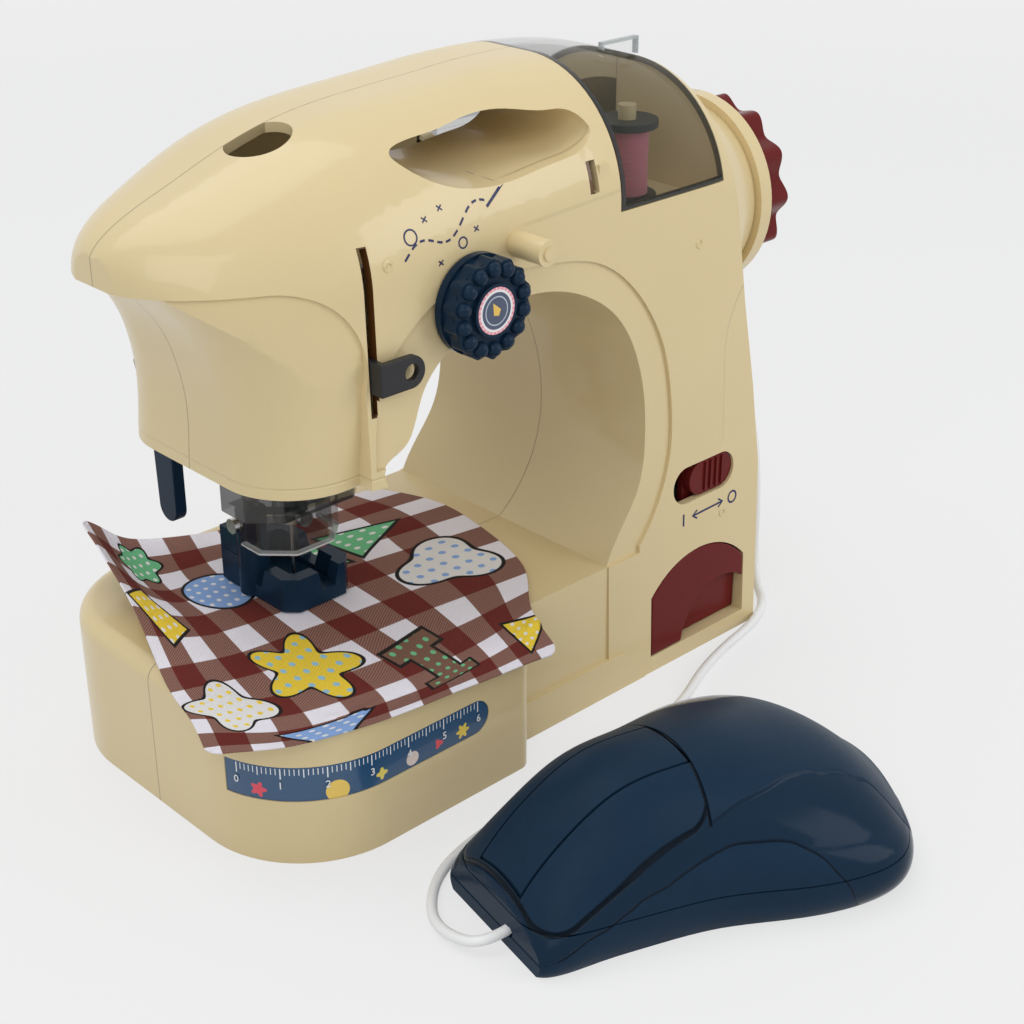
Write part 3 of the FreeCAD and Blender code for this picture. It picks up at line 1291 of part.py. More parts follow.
# Brackets that carry the bars, the shaft and the motor inside the shells
hollow = housing(at.wall + at.seat_gap).cut(bosses(at.boss_radius + at.seat_gap,
                                                   -at.table_half, at.table_half))
frame_left = at.presser_place - 3 * at.presser_radius
frame_right = at.needle_place + 2 * at.needle_bar_radius
frame_back = at.presser_setback + 2 * at.presser_radius
frame_low = at.head_bottom + 1.5 * at.wall
frame_high = at.needle_bar_top - at.wall
guide_left = at.needle_place - at.lifter_pin
frame = boxed((frame_left, frame_right), (frame_back, frame_back + at.wall),
              (frame_low, frame_high))
pieces = [boxed((frame_left, frame_right), (-hub_radius, frame_back),
                (frame_low, frame_low + 2 * at.wall)),
          boxed((frame_left, frame_right), (-hub_radius, frame_back),
                (frame_high - 2 * at.wall, frame_high)),
          boxed((frame_left, guide_left), (at.presser_setback - 2 * at.presser_radius, frame_back),
                (guide_low, guide_low + 1.5 * at.wall)),
          boxed((frame_left, frame_right), (frame_back, at.table_half),
                (guide_low - at.wall, guide_low + 2 * at.wall)).common(hollow)]
frame = frame.fuse(pieces)
arm_way = boxed((at.lever_place - at.lever_thickness, at.lever_place + at.lever_thickness),
                (frame_back - at.wall, at.table_half),
                (link_low - at.wall, link_high + at.presser_lift + at.wall))
frame = frame.cut([arm_way,
                   upright(at.needle_bar_radius + at.bore_gap, at.needle_place, 0,
                           at.head_bottom, at.body_height),
                   upright(at.presser_radius + at.bore_gap, at.presser_place, at.presser_setback,
                           at.head_bottom, at.body_height)])
solid("head_frame", frame)

bush_middle = at.shaft_left + at.bush_length / 2
bracket = boxed((bush_middle - at.wall, bush_middle + at.wall),
                (-at.bush_radius - at.wall, at.table_half),
                (at.drive_height - at.bush_radius - at.wall,
                 at.drive_height + at.bush_radius + at.wall)).common(hollow)
bracket = bracket.cut(Part.makeCylinder(at.bush_radius + at.bore_gap, 4 * at.wall,
                                        Vector(bush_middle - 2 * at.wall, 0, at.drive_height),
                                        Vector(1, 0, 0)))
solid("shaft_bracket", bracket)
saddles = []
for start in (motor_left + at.wall, motor_left + at.motor_length - 3 * at.wall):
    saddles.append(boxed((start, start + at.wall), (-at.motor_radius * 0.6, at.table_half),
                         (motor_height - at.motor_radius - at.wall,
                          motor_height + at.motor_radius + at.wall)))
saddles.append(boxed((motor_left + at.wall, motor_left + at.motor_length - 2 * at.wall),
                     (at.motor_radius + at.wall, at.motor_radius + 2 * at.wall),
                     (motor_height - at.motor_radius, motor_height + at.motor_radius)))
saddle = saddles[0].fuse(saddles[1:]).common(hollow)
grip = Part.makeCylinder(at.motor_radius + at.bore_gap, at.motor_length,
                         Vector(motor_left, 0, motor_height), Vector(1, 0, 0))
solid("motor_bracket", saddle.cut(grip))
solid("switch_case", boxed((at.switch_place - at.switch_length / 2,
                            at.switch_place + at.switch_length / 2 - 2 * at.wall),
                           (-at.arm_half + at.wall + at.seat_gap, -at.arm_half * 0.6),
                           (at.switch_height - at.switch_opening * 0.6,
                            at.switch_height + at.switch_opening * 0.6)).cut(
    boxed((at.switch_place - at.switch_length / 2 + at.wall / 2,
           at.switch_place + at.switch_length / 2 - 2.5 * at.wall),
          (-at.arm_half, -at.arm_half * 0.6 - at.wall),
          (at.switch_height - at.switch_opening * 0.3, at.switch_height + at.switch_opening * 0.3))))

solid("rule_label", label_skin(-at.bore_gap, at.label_depth / 2, at.label_depth))

# Cloth under the foot: places as shares of the body's length, front edge first,
# each row from the left edge to the right edge, then the lift above the bed
CLOTH_SHARES = (
    ((-0.550, -0.206, -0.025), (-0.450, -0.280, -0.016), (-0.294, -0.312, -0.019),
     (-0.156, -0.325, -0.020), (-0.050, -0.334, -0.026)),
    ((-0.534, -0.150, -0.005), (-0.441, -0.238, 0.001), (-0.288, -0.272, 0.002),
     (-0.156, -0.275, 0.002), (-0.028, -0.256, 0.001)),
    ((-0.512, -0.062, 0.001), (-0.412, -0.094, 0.0), (-0.275, -0.112, 0.0),
     (-0.125, -0.125, 0.0), (0.056, -0.150, 0.0)),
    ((-0.469, 0.075, 0.044), (-0.381, 0.056, 0.0), (-0.262, 0.038, 0.0),
     (-0.112, 0.019, 0.0), (0.094, -0.019, 0.002)),
    ((-0.444, 0.188, 0.072), (-0.375, 0.169, 0.006), (-0.250, 0.150, 0.001),
     (-0.088, 0.125, 0.0), (0.100, 0.094, 0.004)),
    ((-0.425, 0.275, 0.094), (-0.356, 0.262, 0.038), (-0.225, 0.244, 0.009),
     (-0.075, 0.219, 0.003), (0.062, 0.194, 0.005)),
)


def cloth():
    """Soft square of cloth lying over the table, its edges drooping or curled."""
    steps = 3
    rows = len(CLOTH_SHARES)
    columns = len(CLOTH_SHARES[0])
    grid = []
    for i in range((rows - 1) * steps + 1):
        row, v = min(i // steps, rows - 2), i / steps - min(i // steps, rows - 2)
        line = []
        for j in range((columns - 1) * steps + 1):
            column, u = min(j // steps, columns - 2), j / steps - min(j // steps, columns - 2)
            soft_u = u * u * (3 - 2 * u)
            soft_v = v * v * (3 - 2 * v) if row else v * (2 - v)
            corner = [Vector(*CLOTH_SHARES[row + dv][column + du])
                      for dv in (0, 1) for du in (0, 1)]
            flat = [(corner[0][k] * (1 - u) + corner[1][k] * u) * (1 - v)
                    + (corner[2][k] * (1 - u) + corner[3][k] * u) * v for k in (0, 1)]
            rise = ((corner[0].z * (1 - soft_u) + corner[1].z * soft_u) * (1 - soft_v)
                    + (corner[2].z * (1 - soft_u) + corner[3].z * soft_u) * soft_v)
            line.append(Vector(flat[0] * at.body_length, flat[1] * at.body_length,
                               at.bed_height + at.seat_gap + rise * at.body_length))
        grid.append(line)
    surface = Part.BSplineSurface()
    surface.interpolate(grid)
    sheet_form = surface.toShape().extrude(Vector(0, 0, at.cloth_thickness))
    return sheet_form.cut(upright(3 * at.needle_radius, at.needle_place, 0, 0, at.body_height))


solid("cloth", cloth())

# Smoked guard under the head
guard_left = at.needle_place - 17.5 / 31 * at.foot_length
guard_right = at.needle_place + 13.5 / 31 * at.foot_length
guard_front = -0.51 * at.foot_width
guard_step = at.foot_top + 7 * at.wall
guard_top = at.head_bottom - at.seat_gap
guard_wall = 0.75 * at.wall


def tray(left, right, front, back, corner, low, high):
    """Upright prism with its front corners cut off."""
    points = [(left, back), (left, front + corner), (left + corner, front),
              (right - corner, front), (right, front + corner), (right, back)]
    points = [Vector(x, y, low) for x, y in points]
    return Part.Face(Part.Wire(polyline(points + points[:1]))).extrude(
        Vector(0, 0, high - low))


def needle_guard():
    corner = 3 * at.wall
    inner = corner - guard_wall * (2 - math.sqrt(2))
    step = 2.2 * at.wall
    back = 0.04 * at.foot_width
    low = at.foot_top + 2 * at.wall
    upper = tray(guard_left, guard_right, guard_front, back, corner, guard_step, guard_top)
    upper_room = tray(guard_left + guard_wall, guard_right - guard_wall, guard_front + guard_wall,
                      back + at.wall, inner, guard_step + guard_wall, guard_top)
    lower = tray(guard_left + step, guard_right - step, guard_front + at.wall, back, corner,
                 low, guard_step + guard_wall)
    lower_room = tray(guard_left + step + guard_wall, guard_right - step - guard_wall,
                      guard_front + at.wall + guard_wall, back + at.wall, inner, low,
                      guard_step + guard_wall)
    return upper.cut(upper_room).fuse(lower).cut(lower_room)


solid("needle_guard", needle_guard())

# Tension knob on its stem, with its badge and clip
rest = at.arm_half + 2 * at.seat_gap
depth = at.knob_face - rest
knob = Part.makeCylinder(at.knob_radius, 0.25 * depth, Vector(), Vector(0, -1, 0))
groove = Part.makeCylinder(at.knob_radius - 0.5 * at.knob_lobe, 0.7 * depth, Vector(),
                           Vector(0, -1, 0))
front_disc = lobed(at.knob_radius, 14, 0.6 * at.knob_lobe, 0.5 * depth)
front_disc = moved(front_disc, 0, -0.35 * depth, 0, Rotation(Vector(0, 0, 1), -90))
domes = []
for k in range(14):
    turn = 2 * math.pi * k / 14
    r = at.knob_radius - 1.55 * at.knob_lobe
    domes.append(Part.makeSphere(at.knob_lobe * 1.15, Vector(
        r * math.sin(turn), -0.85 * depth, r * math.cos(turn))))
hub_disc = Part.makeCylinder(at.knob_radius * 0.53, depth, Vector(), Vector(0, -1, 0))
dip = Part.makeCylinder(at.knob_radius * 0.47, at.seat_gap, Vector(0, -depth + at.seat_gap, 0),
                        Vector(0, -1, 0))
stem = Part.makeCylinder(at.knob_stem, 0.5 * depth + 5 * at.wall, Vector(0, 5 * at.wall, 0),
                         Vector(0, -1, 0))
solid("tension_knob", moved(knob.fuse([groove, front_disc, hub_disc, stem] + domes).cut(dip),
                            at.knob_place, -rest, at.knob_height))
solid("knob_badge", moved(Part.makeCylinder(at.knob_radius * 0.47 - at.bore_gap, at.seat_gap,
                                            Vector(), Vector(0, -1, 0)), at.knob_place,
                          -rest - depth + at.seat_gap, at.knob_height))
clip_start = rest - at.arm_half + at.wall + 2 * at.seat_gap
clip = Part.makeCylinder(1.8 * at.knob_stem, 0.75 * at.wall, Vector(0, clip_start, 0),
                         Vector(0, 1, 0))
clip = clip.cut(Part.makeCylinder(at.knob_stem + at.bore_gap, 5 * at.wall, Vector(),
                                  Vector(0, 1, 0)))
solid("knob_clip", moved(clip, at.knob_place, -rest, at.knob_height).common(hollow))

# Switch slider in its window
window_right = at.switch_place + at.switch_length / 2
slider_right = window_right - at.seat_gap
slider_left = slider_right - at.slider_length
slider_half = at.switch_opening / 2 - at.seat_gap
skin_y = -at.arm_half - 0.95 * at.wall
slider = stadium(slider_left, slider_right, at.switch_height - slider_half,
                 at.switch_height + slider_half, skin_y, -at.arm_half + 0.3 * at.wall)
ribs = []
for k in range(4):
    x = slider_left + at.slider_length * (0.34 + 0.13 * k)
    ribs.append(boxed((x, x + at.wall / 3), (skin_y - at.wall / 4, skin_y + at.wall / 4),
                      (at.switch_height - 0.85 * slider_half,
                       at.switch_height + 0.85 * slider_half)))
flange = boxed((slider_left, slider_right), (-at.arm_half + 0.3 * at.wall, -at.arm_half + at.wall),
               (at.switch_height - 1.3 * slider_half, at.switch_height + 1.3 * slider_half))
key_x = (slider_left + slider_right) / 2
key = boxed((key_x - at.wall * 0.75, key_x + at.wall * 0.75),
            (-at.arm_half + at.wall, -at.arm_half + 4 * at.wall),
            (at.switch_height - at.wall / 2, at.switch_height + at.wall / 2))
solid("switch_slider", slider.fuse(ribs + [flange, key]))


# Drawer at the foot of the column

def drawer():
    """Open box behind an arched face that follows the housing's draft."""
    face_back = -at.arm_half + at.wall / 2
    face = drawer_bay(0.0, -at.table_half, face_back).common(loaf(0.0))
    box = boxed((at.drawer_left, at.drawer_right), (face_back - at.wall / 2, at.drawer_back),
                (at.drawer_bottom, at.drawer_side - at.wall))
    space = boxed((at.drawer_left + at.drawer_wall, at.drawer_right - at.drawer_wall),
                  (face_back, at.drawer_back - at.drawer_wall),
                  (at.drawer_bottom + at.drawer_wall, at.drawer_crown))
    grip = Part.makeCylinder(0.95 * at.drawer_side - at.drawer_bottom, at.arm_half,
                             Vector(0.88 * at.drawer_right, face_back - at.wall,
                                    at.drawer_bottom - at.wall), Vector(0, -1, 0))
    return face.fuse(box).cut([space, grip])


solid("drawer", drawer())

# Screws that hold the halves together
screws = []
for x_share, z_share in BOSS_SHARES:
    seat = spot(x_share, z_share, at.arm_half * 0.55)
    shank = Part.makeCylinder(at.screw_radius, at.arm_half, seat, Vector(0, -1, 0))
    head = Part.makeCylinder(at.screw_head, at.screw_radius, seat, Vector(0, 1, 0))
    cross = [boxed((seat.x - a, seat.x + a), (seat.y + at.screw_radius / 2,
                                             seat.y + at.screw_radius),
                   (seat.z - b, seat.z + b))
             for a, b in ((at.screw_head * 0.7, at.screw_head * 0.14),
                          (at.screw_head * 0.14, at.screw_head * 0.7))]
    screws.append(shank.fuse(head).cut(cross))
solid("housing_screws", Part.makeCompound(screws))

# Socket in the right flank, the plug and its relief
along = Vector(1, 0, 0)


def socket_rod(radius, start, end):
    return Part.makeCylinder(radius, end - start, Vector(start, at.jack_y, at.jack_height), along)


pin_radius = at.plug_radius / 2
jack_inner = at.jack_x - at.wall - 5 * at.seat_gap
plug_start = at.jack_x + 3 * at.seat_gap
jack = socket_rod(1.4 * at.plug_radius, jack_inner - 4 * at.wall, jack_inner)
jack = jack.fuse(socket_rod(at.plug_radius, jack_inner, at.jack_x - 2 * at.seat_gap))
solid("pedal_socket", jack.cut(socket_rod(pin_radius + at.bore_gap, jack_inner - 3 * at.wall,
                                          at.jack_x + at.wall)))
plug = socket_rod(at.plug_radius, plug_start, plug_start + at.plug_length)
plug = plug.fuse(socket_rod(pin_radius, jack_inner - 2 * at.wall, plug_start))
lead_start = plug_start + at.plug_length
cord_hole = socket_rod(at.lead_radius + at.bore_gap, lead_start - at.wall, lead_start + at.wall)
relief = Part.makeCone(at.relief_radius, at.relief_radius * 0.75, at.relief_length,
                       Vector(lead_start, at.jack_y, at.jack_height), along)
solid("pedal_plug", plug.fuse(relief).cut(cord_hole).cut(socket_rod(at.lead_radius + at.bore_gap, lead_start,
                                           lead_start + 2 * at.relief_length)))

# Lead: places as shares of the body's length, from the plug to the pedal
LEAD_SHARES = ((0.6381, 0.1000, 0.3750), (0.6394, -0.0375, 0.3594), (0.6031, -0.1281, 0.3125),
               (0.5956, -0.1575, 0.1938), (0.5938, -0.1625, 0.0075), (0.5188, -0.2563, 0.0075),
               (0.3250, -0.2906, 0.0075), (0.1875, -0.3531, 0.0075), (0.0, -0.3813, 0.0075),
               (-0.1625, -0.3688, 0.0075), (-0.2875, -0.3800, 0.0075), (-0.3630, -0.4140, 0.0075),
               (-0.4156, -0.4781, 0.0085), (-0.4019, -0.5675, 0.0225), (-0.3094, -0.5563, 0.0313))


def lead_points():
    points = [Vector(plug_start + at.plug_length - at.wall / 2, at.jack_y, at.jack_height)]
    for x_share, y_share, z_share in LEAD_SHARES:
        points.append(Vector(x_share, y_share, z_share) * at.body_length)
    points[1].z = at.jack_height
    return points


def lead_edges(points):
    """Straight runs joined by tangent arcs."""
    edges = []
    start = points[0]
    for before, corner, after in zip(points, points[1:], points[2:]):
        a, b = before - corner, after - corner
        shorter = min(a.Length, b.Length)
        half_turn = (math.pi - a.getAngle(b)) / 2
        radius = 0.45 * shorter / math.tan(half_turn)
        first = corner + a.normalize() * 0.45 * shorter
        last = corner + b.normalize() * 0.45 * shorter
        inward = (a + b).normalize()
        middle = corner + inward * radius * (1 / math.cos(half_turn) - 1)
        edges.append(Part.LineSegment(start, first).toShape())
        edges.append(bow(first, middle, last))
        start = last
    edges.append(Part.LineSegment(start, points[-1]).toShape())
    return edges


def lead(radius):
    points = lead_points()
    wire = Part.Wire(lead_edges(points))
    run = points[1] - points[0]
    ring = Part.Wire([Part.Circle(points[0], run, radius).toShape()])
    return wire.makePipeShell([ring], True, False)


lead_tube = lead(at.lead_radius)
lead_run = Part.Wire(lead_edges(lead_points()))
print("lead length", round(lead_run.Length, 1), "volume", round(lead_tube.Volume),
      "against", round(math.pi * at.lead_radius ** 2 * lead_run.Length), "arc radii",
      [round(edge.Curve.Radius, 1) for edge in lead_run.Edges if hasattr(edge.Curve, "Radius")])
solid("pedal_lead", lead_tube)


# Pedal: stations along it as shares of its length, half width and height
PEDAL_SHARES = ((0.0, 0.486, 0.358), (0.041, 0.548, 0.544), (0.133, 0.577, 0.797),
                (0.255, 0.625, 0.987), (0.408, 0.716, 1.0), (0.561, 0.892, 0.949),
                (0.694, 1.0, 0.854), (0.816, 0.983, 0.728), (0.908, 0.778, 0.544),
                (0.969, 0.531, 0.380), (1.0, 0.259, 0.266))


def pedal_form(inset):
    """Outer form of the pedal, or the same form set in, along +X from the origin."""
    wires = []
    for along_share, half_share, top_share in PEDAL_SHARES:
        x = inset + along_share * (at.pedal_length - 2 * inset)
        h = half_share * at.pedal_half - inset
        top = top_share * at.pedal_height - inset
        low = Vector(x, -0.93 * h, 0)
        side = Vector(x, -h, 0.25 * top)
        shoulder = Vector(x, -0.86 * h, 0.55 * top)
        foot = Vector(x, low.y, -at.overrun)
        mirror = [Vector(p.x, -p.y, p.z) for p in (shoulder, side, low, foot)]
        wires.append(Part.Wire([bow(low, side, shoulder),
                                bow(shoulder, Vector(x, 0, top), mirror[0]),
                                bow(mirror[0], mirror[1], mirror[2]),
                                Part.LineSegment(mirror[2], mirror[3]).toShape(),
                                Part.LineSegment(mirror[3], foot).toShape(),
                                Part.LineSegment(foot, low).toShape()]))
    return Part.makeLoft(wires, True, False)


pedal_frame = Placement(Vector(at.pedal_x, at.pedal_y, 0), Rotation(Vector(0, 0, 1), at.pedal_turn))


def laid(shape):
    """A pedal piece set from its own frame into the machine's."""
    shape = shape.copy()
    shape.Placement = pedal_frame.multiply(shape.Placement)
    return shape


far = 2 * at.pedal_length
outer = pedal_form(0.0)
room_above = boxed((-far, far), (-far, far), (at.pedal_wall, far))
inner = pedal_form(at.pedal_wall).common(room_above)
below = boxed((-far, far), (-far, far), (0, at.pedal_part))
above = boxed((-far, far), (-far, far), (at.pedal_part + at.seat_gap, far))
PEDAL_SCREWS = ((0.62, 0.5), (0.62, -0.5), (0.90, 0.0))
pillars = [Vector(a * at.pedal_length, b * at.pedal_half, 0) for a, b in PEDAL_SCREWS]
skin = outer.cut(inner)
posts = [Part.makeCylinder(at.boss_radius, far, p).common(outer) for p in pillars]
wells = [Part.makeCylinder(at.screw_head + at.bore_gap, 2 * at.wall, p) for p in pillars]
bores = [Part.makeCylinder(at.screw_radius + at.bore_gap, 8 * at.wall, p) for p in pillars]
dip = boxed((at.button_front - at.button_gap, at.button_front + 2 * at.wall),
            (-at.button_half - at.button_gap, at.button_half + at.button_gap),
            (at.pedal_part - at.button_dip, far))
solid("pedal_base", laid(skin.fuse(posts).common(below).cut(wells + bores + [dip])).cut(
    lead(at.lead_radius + at.bore_gap)))
strip = boxed((at.button_front, at.button_front + at.button_length),
              (-at.button_half, at.button_half), (at.pedal_part, far))
strip_gap = boxed((at.button_front - at.button_gap,
                   at.button_front + at.button_length + at.button_gap),
                  (-at.button_half - at.button_gap, at.button_half + at.button_gap),
                  (at.pedal_part, far))
button_end = at.button_front + at.button_length
axle_x = button_end - at.wall
axle_z = PEDAL_SHARES[4][2] * at.pedal_height - 2.4 * at.pedal_wall
axle_half = at.button_half + 2.2 * at.wall
lugs = [boxed((axle_x - at.wall, axle_x + at.wall),
              (min(side * axle_half, side * (at.button_half + at.button_gap + at.seat_gap)),
               max(side * axle_half, side * (at.button_half + at.button_gap + at.seat_gap))),
              (axle_z - at.wall, far)).common(outer) for side in (-1, 1)]
axle_bore = Part.makeCylinder(at.lid_pin_radius * 0.9 + at.bore_gap, 2 * axle_half,
                              Vector(axle_x, -axle_half, axle_z), Vector(0, 1, 0))
pedal_top = skin.cut(strip_gap).fuse(lugs + posts).common(above).cut(bores + [axle_bore])
solid("pedal_top", laid(pedal_top))
axle = Part.makeCylinder(at.lid_pin_radius * 0.9, 2 * (axle_half - at.seat_gap),
                         Vector(axle_x, at.seat_gap - axle_half, axle_z), Vector(0, 1, 0))
cheek = boxed((axle_x - at.wall, axle_x + at.wall / 2), (-at.button_half, at.button_half),
              (axle_z - at.wall, far)).common(outer)
switch_x = at.button_front + 0.7 * at.button_length
switch_top = PEDAL_SHARES[2][2] * at.pedal_height - at.wall
plunger = boxed((switch_x - at.wall / 2, switch_x + at.wall / 2), (-at.wall, at.wall),
                (switch_top + 2 * at.seat_gap, far)).common(outer)
button = skin.common(strip).fuse([cheek, axle, plunger])
solid("pedal_button", laid(button))
solid("pedal_switch", laid(boxed((switch_x - 2 * at.wall, switch_x + 2 * at.wall),
                                 (-2 * at.wall, 2 * at.wall),
                                 (at.pedal_wall, switch_top - at.wall)).fuse(
    boxed((switch_x - at.wall / 2, switch_x + at.wall / 2), (-at.wall / 2, at.wall / 2),
          (switch_top - at.wall, switch_top)))))
spring_x = at.button_front + 0.42 * at.button_length
spring_top = 0.82 * at.pedal_height - at.seat_gap - at.pedal_wall
solid("pedal_spring", laid(coil(1.5 * at.presser_radius, at.spring_wire,
                                spring_top - at.pedal_wall - at.seat_gap, 7, spring_x, 0,
                                at.pedal_wall + at.seat_gap)))
screws = []
for p in pillars:
    top = p + Vector(0, 0, 2 * at.wall)
    shank = Part.makeCylinder(at.screw_radius, 5 * at.wall, top)
    head = Part.makeCylinder(at.screw_head, at.wall, top, Vector(0, 0, -1))
    screws.append(laid(shank.fuse(head)))
solid("pedal_screws", Part.makeCompound(screws))


if __name__ == "__main__":
    doc.recompute()
    for item in doc.Objects:
        if "Invalid" in item.State or "Error" in item.State:
            raise RuntimeError("%s failed: %s" % (item.Label, item.State))
    os.makedirs("parts", exist_ok=True)
    for item in NODES:
        if item.Shape.isNull() or not item.Shape.isValid():
            raise RuntimeError("%s has no sound shape" % item.Label)
        print(item.Label, len(item.Shape.Solids), round(item.Shape.Volume))
        item.Shape.exportStep("parts/%s.step" % item.Label)
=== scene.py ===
import json
import math
import bmesh
import bpy
from bpy.props import FloatProperty, FloatVectorProperty, PointerProperty
from mathutils import Matrix, Vector
from mathutils.bvhtree import BVHTree

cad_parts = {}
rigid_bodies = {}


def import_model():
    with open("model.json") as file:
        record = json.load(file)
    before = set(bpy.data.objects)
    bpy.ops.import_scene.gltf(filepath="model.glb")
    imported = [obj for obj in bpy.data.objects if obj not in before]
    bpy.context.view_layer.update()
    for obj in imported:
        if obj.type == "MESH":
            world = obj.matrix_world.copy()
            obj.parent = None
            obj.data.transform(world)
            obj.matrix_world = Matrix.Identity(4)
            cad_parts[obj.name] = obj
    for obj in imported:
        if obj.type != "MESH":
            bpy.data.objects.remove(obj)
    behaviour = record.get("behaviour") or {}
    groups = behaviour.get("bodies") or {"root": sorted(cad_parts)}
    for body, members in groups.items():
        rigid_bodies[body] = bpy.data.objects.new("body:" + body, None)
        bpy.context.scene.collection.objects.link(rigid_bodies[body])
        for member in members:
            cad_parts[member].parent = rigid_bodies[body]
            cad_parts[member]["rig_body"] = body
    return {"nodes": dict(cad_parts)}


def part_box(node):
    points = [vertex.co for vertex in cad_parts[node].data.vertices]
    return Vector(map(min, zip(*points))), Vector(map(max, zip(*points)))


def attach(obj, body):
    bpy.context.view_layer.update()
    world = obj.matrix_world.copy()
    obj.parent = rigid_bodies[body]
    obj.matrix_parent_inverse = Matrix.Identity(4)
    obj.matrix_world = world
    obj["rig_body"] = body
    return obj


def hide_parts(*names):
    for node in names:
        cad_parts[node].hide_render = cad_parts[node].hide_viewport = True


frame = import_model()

bl_info = {
    "name": "Toy Sewing Machine",
    "version": (1, 0, 0),
    "blender": (4, 5, 0),
    "location": "3D View > Sidebar > Sewing Machine",
    "description": "Dresses a toy sewing machine, its cloth and its foot pedal",
    "category": "Object",
}

MM = 0.001


# Shader values with arithmetic

class Value:
    """A socket of a material; sums and products of values add their nodes."""

    def __init__(self, paint, socket):
        self.paint = paint
        self.socket = socket

    def math(self, operation, *others):
        return self.paint.node("Math", {"operation": operation},
                               dict(enumerate((self,) + others)))

    def __add__(self, other):
        return self.math("ADD", other)

    __radd__ = __add__

    def __mul__(self, other):
        return self.math("MULTIPLY", other)

    __rmul__ = __mul__

    def __sub__(self, other):
        return self.math("SUBTRACT", other)

    def __rsub__(self, other):
        return self.paint.node("Math", {"operation": "SUBTRACT"}, {0: other, 1: self})

    def __truediv__(self, other):
        return self.math("DIVIDE", other)

    def __pow__(self, other):
        return self.math("POWER", other)

    def __abs__(self):
        return self.math("ABSOLUTE")

    def least(self, other):
        return self.math("MINIMUM", other)

    def most(self, other):
        return self.math("MAXIMUM", other)

    def part(self):
        return self.math("FRACT")

    def angle(self, across):
        """The angle of a place round the origin, this value being its height."""
        return self.math("ARCTAN2", across)

    def ramp(self, low, high, start, end):
        """From start at low to end at high, smooth between them."""
        return self.paint.node("MapRange", {"interpolation_type": "SMOOTHSTEP"},
                               {0: self, 1: low, 2: high, 3: start, 4: end})

    def step(self, low, high):
        """0 below low and 1 above high."""
        return self.ramp(low, high, 0.0, 1.0)

    def under(self, edge, blur):
        """1 where the value is under an edge, 0 where it is over it."""
        return self.ramp(edge - blur, edge + blur, 1.0, 0.0)


class Paint:
    """One procedural material and the nodes that it is made of."""

    def __init__(self, name):
        self.material = bpy.data.materials.new(name)
        self.material.use_nodes = True
        self.tree = self.material.node_tree
        self.tree.nodes.clear()

    def node(self, kind, settings=None, sockets=None, out=0):
        item = self.tree.nodes.new("ShaderNode" + kind)
        for key, value in (settings or {}).items():
            setattr(item, key, value)
        for key, value in (sockets or {}).items():
            socket = item.inputs[key]
            if isinstance(value, Value):
                self.tree.links.new(value.socket, socket)
            else:
                socket.default_value = value
        return Value(self, item.outputs[out])

    def place(self, layer=None):
        """x, y and z of the piece in millimetres, or u and v of one of its maps."""
        if layer:
            where = self.node("UVMap", {"uv_map": layer})
        else:
            where = self.node("TexCoord", out="Object")
            where = self.node("VectorMath", {"operation": "SCALE"}, {0: where, "Scale": 1000.0})
        self.where = where
        return [self.node("SeparateXYZ", None, {0: where}, out) for out in range(3)]

    def noise(self, size, detail=2.0, rough=0.5):
        """Clouds from 0 to 1 whose features have about this size, in the units of place."""
        return self.node("TexNoise", None, {"Vector": self.where, "Scale": 1.0 / size,
                                            "Detail": detail, "Roughness": rough})

    def profile(self, value, reach, height, places):
        """A smooth curve through (place, up) pairs, within reach and height, at a value."""
        line = self.node("ValToRGB", None, {0: value / reach})
        ramp = line.socket.node.color_ramp
        ramp.interpolation = "CARDINAL"
        first, last = ramp.elements
        first.position, last.position = places[0][0] / reach, places[-1][0] / reach
        for place, _ in places[1:-1]:
            ramp.elements.new(place / reach)
        for stop, (_, up) in zip(ramp.elements, places):
            stop.color = (up / height,) * 3 + (1.0,)
        return line * height

    def mix(self, share, first, second):
        """Second over first, by a share."""
        under, over = [c if isinstance(c, Value) else tuple(c) + (1.0,) for c in (first, second)]
        return self.node("Mix", {"data_type": "RGBA"}, {0: share, 6: under, 7: over}, 2)

    def bump(self, height, depth, normal=None):
        """A relief of height times depth, in millimetres."""
        sockets = {"Height": height, "Distance": depth * MM}
        if normal:
            sockets["Normal"] = normal
        return self.node("Bump", None, sockets)

    def surface(self, **sockets):
        """The finished material; a keyword names a socket, with _ for each space."""
        shader = self.node("BsdfPrincipled", None,
                           {key.replace("_", " "): value for key, value in sockets.items()})
        end = self.tree.nodes.new("ShaderNodeOutputMaterial")
        self.tree.links.new(shader.socket, end.inputs[0])
        return self.material


def tone(colour, factor):
    """A colour made darker or lighter."""
    return tuple(min(1.0, c * factor) for c in colour[:3])


def moulded(name, colour, roughness, coat=0.0, grain=0.35, depth=0.006, sway=0.05, shine=0.35):
    """Moulded plastic: faint flow marks, a fine skin and slight smudges."""
    paint = Paint(name)
    paint.place()
    flow = paint.noise(26.0, 3.0)
    smudge = paint.noise(7.0, 4.0, 0.6)
    skin = paint.noise(grain)
    base = paint.mix(flow, tone(colour, 1 - sway), tone(colour, 1 + sway))
    return paint.surface(Base_Color=base,
                         Roughness=(smudge - 0.5) * (0.35 * roughness) + roughness,
                         Normal=paint.bump(skin, depth),
                         Coat_Weight=coat, Coat_Roughness=0.06, Specular_IOR_Level=shine)


def metal(name, colour, roughness):
    """Turned and drawn metal with fine streaks."""
    paint = Paint(name)
    paint.place()
    fine = paint.noise(0.12, 3.0, 0.6)
    stain = paint.noise(5.0, 3.0)
    base = paint.mix(stain, tone(colour, 0.88), tone(colour, 1.05))
    return paint.surface(Base_Color=base, Metallic=1.0,
                         Roughness=fine * 0.16 + (roughness - 0.08),
                         Normal=paint.bump(fine, 0.004))


# Pieces: lengths in millimetres and angles in degrees

